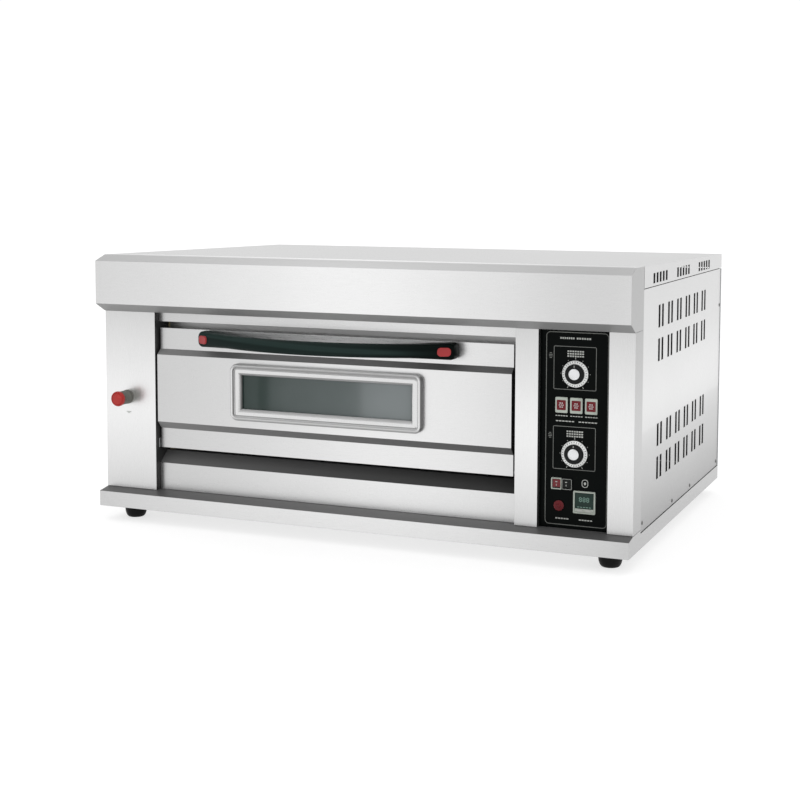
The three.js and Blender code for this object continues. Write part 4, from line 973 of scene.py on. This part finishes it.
def cable_gland():
    lo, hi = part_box("cable_gland")
    at = middle("cable_gland")
    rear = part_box("rear_panel")[1].y
    radius = (hi.x - lo.x) / 2
    nut = [(radius, 0.2 * MM), (radius, 6 * MM), (radius - 1.2 * MM, 7 * MM)]
    shape = Shape().add(*lathe(nut, (at.x, rear, at.z), (0, 1, 0), 6))
    tip = hi.y - rear
    dome = [(radius - 2 * MM, 6.5 * MM), (radius - 2 * MM, 14 * MM), (radius - 3 * MM, 18 * MM)]
    dome += [(9 * MM, tip - 2 * MM), (8 * MM, tip), (6 * MM, tip), (6 * MM, tip - 8 * MM)]

    def rib(angle, ring_radius, distance):
        return (ring_radius * (1 - 0.04 * (0.5 + 0.5 * math.cos(16 * angle))) if distance < 16 * MM
                else ring_radius)

    shape.add(*lathe(dome, (at.x, rear, at.z), (0, 1, 0), 96, rib))
    tail = [(radius - 3 * MM, 0), (radius - 3 * MM, rear - lo.y)]
    shape.add(*lathe(tail, (at.x, rear - 0.5 * MM, at.z), (0, -1, 0), 24))
    shape.piece("gland_body", create["black"], "oven_body", slot="black_plastic", smooth=30,
                replaces=("cable_gland",))


def screw_head(shape, place, direction, radius=4.5 * MM, rise=1.3 * MM):
    """A pan head with a cross recess."""
    profile = [(radius, 0), (radius, rise * 0.35), (radius * 0.86, rise * 0.75), (radius * 0.6, rise)]
    profile.append((radius * 0.42, rise))
    sides = 32

    def recess(angle, ring_radius, distance):
        if ring_radius > radius * 0.5:
            return ring_radius
        return ring_radius * (0.35 + 0.65 * abs(math.cos(2 * angle)) ** 3)

    verts, _ = lathe(profile, place, direction, sides, recess)
    axis = Vector(direction)
    floor = [v - axis * rise * 0.6 for v in verts[-sides:]]
    shape.add(verts + floor, rings_to_faces(len(profile) + 1, sides))


# Screws of a side panel: distance behind the pillars' front faces, then height above the base's underside.
PILLAR_TO_REAR = 0.896
SIDE_SCREWS = ((0.084, 0.053), (0.368, 0.0445), (0.558, 0.044), (0.875, 0.048), (0.883, 0.459))


def screws():
    shape = Shape()
    panel_lo, panel_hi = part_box("rear_panel")
    inset = 12 * MM
    for x in [panel_lo.x + inset + (panel_hi.x - panel_lo.x - 2 * inset) * i / 4 for i in range(5)]:
        for z in (panel_lo.z + inset, panel_hi.z - inset):
            screw_head(shape, Vector((x, panel_hi.y, z)), (0, 1, 0))
    shape.piece("rear_screws", create["screw"], "oven_body", slot="satin_metal", smooth=35)
    front_y, low_z = panel_hi.y - PILLAR_TO_REAR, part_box("base_frame")[0].z
    for side, name in ((-1, "left"), (1, "right")):
        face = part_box(f"side_panel_{name}")
        outer = face[0].x if side < 0 else face[1].x
        shape = Shape()
        for y, z in SIDE_SCREWS:
            screw_head(shape, Vector((outer, front_y + y, low_z + z)), (side, 0, 0))
        shape.piece(f"side_screws_{name}", create["screw"], "oven_body", slot="satin_metal", smooth=35)


# ------------------------------------------------------------------ studio
FRONT_GLOW = Vector((-0.36, -0.93, 0.0))
FLOOR_REACH = 30


def make_world():
    """A white surround, slightly darker in front of the oven than behind it, with one soft bright band."""
    world = bpy.data.worlds.new("studio")
    bpy.context.scene.world = world
    world.use_nodes = True
    tree = world.node_tree
    background = next(n for n in tree.nodes if n.type == "BACKGROUND")
    direction = tree.nodes.new("ShaderNodeTexCoord").outputs["Generated"]

    def linked(kind, operation, *inputs):
        made = tree.nodes.new(kind)
        if operation:
            made.operation = operation
        for socket, value in zip(made.inputs, inputs):
            if isinstance(value, bpy.types.NodeSocket):
                tree.links.new(value, socket)
            else:
                socket.default_value = value
        return made.outputs

    facing = linked("ShaderNodeVectorMath", "DOT_PRODUCT", direction, tuple(FRONT_GLOW))["Value"]
    glow = linked("ShaderNodeMapRange", None, facing, 0.8, 1.0, 0.0, 0.16)[0]
    front = linked("ShaderNodeMapRange", None, facing, -0.2, 0.5, 1.04, 0.93)[0]
    total = linked("ShaderNodeMath", "ADD", front, glow)[0]
    tree.links.new(total, background.inputs[1])
    background.inputs[0].default_value = (1, 1, 1, 1)


def make_floor():
    mesh = bpy.data.meshes.new("floor")
    corners = [(-FLOOR_REACH, -FLOOR_REACH, 0), (FLOOR_REACH, -FLOOR_REACH, 0)]
    corners += [(FLOOR_REACH, FLOOR_REACH, 0), (-FLOOR_REACH, FLOOR_REACH, 0)]
    mesh.from_pydata(corners, [], [(0, 1, 2, 3)])
    floor = bpy.data.objects.new("floor", mesh)
    bpy.context.scene.collection.objects.link(floor)
    n = Nodes("pale_floor")
    n.set(Base_Color=n.mix(n.noise(2, 2), (0.38, 0.38, 0.38), (0.4, 0.4, 0.4)), Roughness=0.9)
    n.set(Specular_IOR_Level=0.1, Emission_Color=(1, 1, 1), Emission_Strength=0.68)
    mesh.materials.append(n.material)


LIGHTS = {
    "key": ((-2.6, -3.6, 3.2), 3.0, 12),
    "fill": ((3.6, -2.2, 2.2), 2.4, 6),
    "overhead": ((0.0, 0.2, 4.2), 6.0, 30),
}


def make_lights():
    for name, (place, size, power) in LIGHTS.items():
        data = bpy.data.lights.new(name, "AREA")
        data.size = size
        data.energy = power
        lamp = bpy.data.objects.new(name, data)
        bpy.context.scene.collection.objects.link(lamp)
        lamp.location = place
        lamp.rotation_mode = "QUATERNION"
        lamp.rotation_quaternion = (Vector((0, 0, 0.3)) - Vector(place)).to_track_quat("-Z", "Y")


bpy.context.scene.view_settings.view_transform = "Standard"
make_camera()
make_world()
make_floor()
make_lights()
dress_cad_nodes()
door_handle()
handle_plugs()
window_surround()
panel_print()
dials()
indicators()
switches()
timer()
buzzer()
damper()
feet()
cable_gland()
screws()
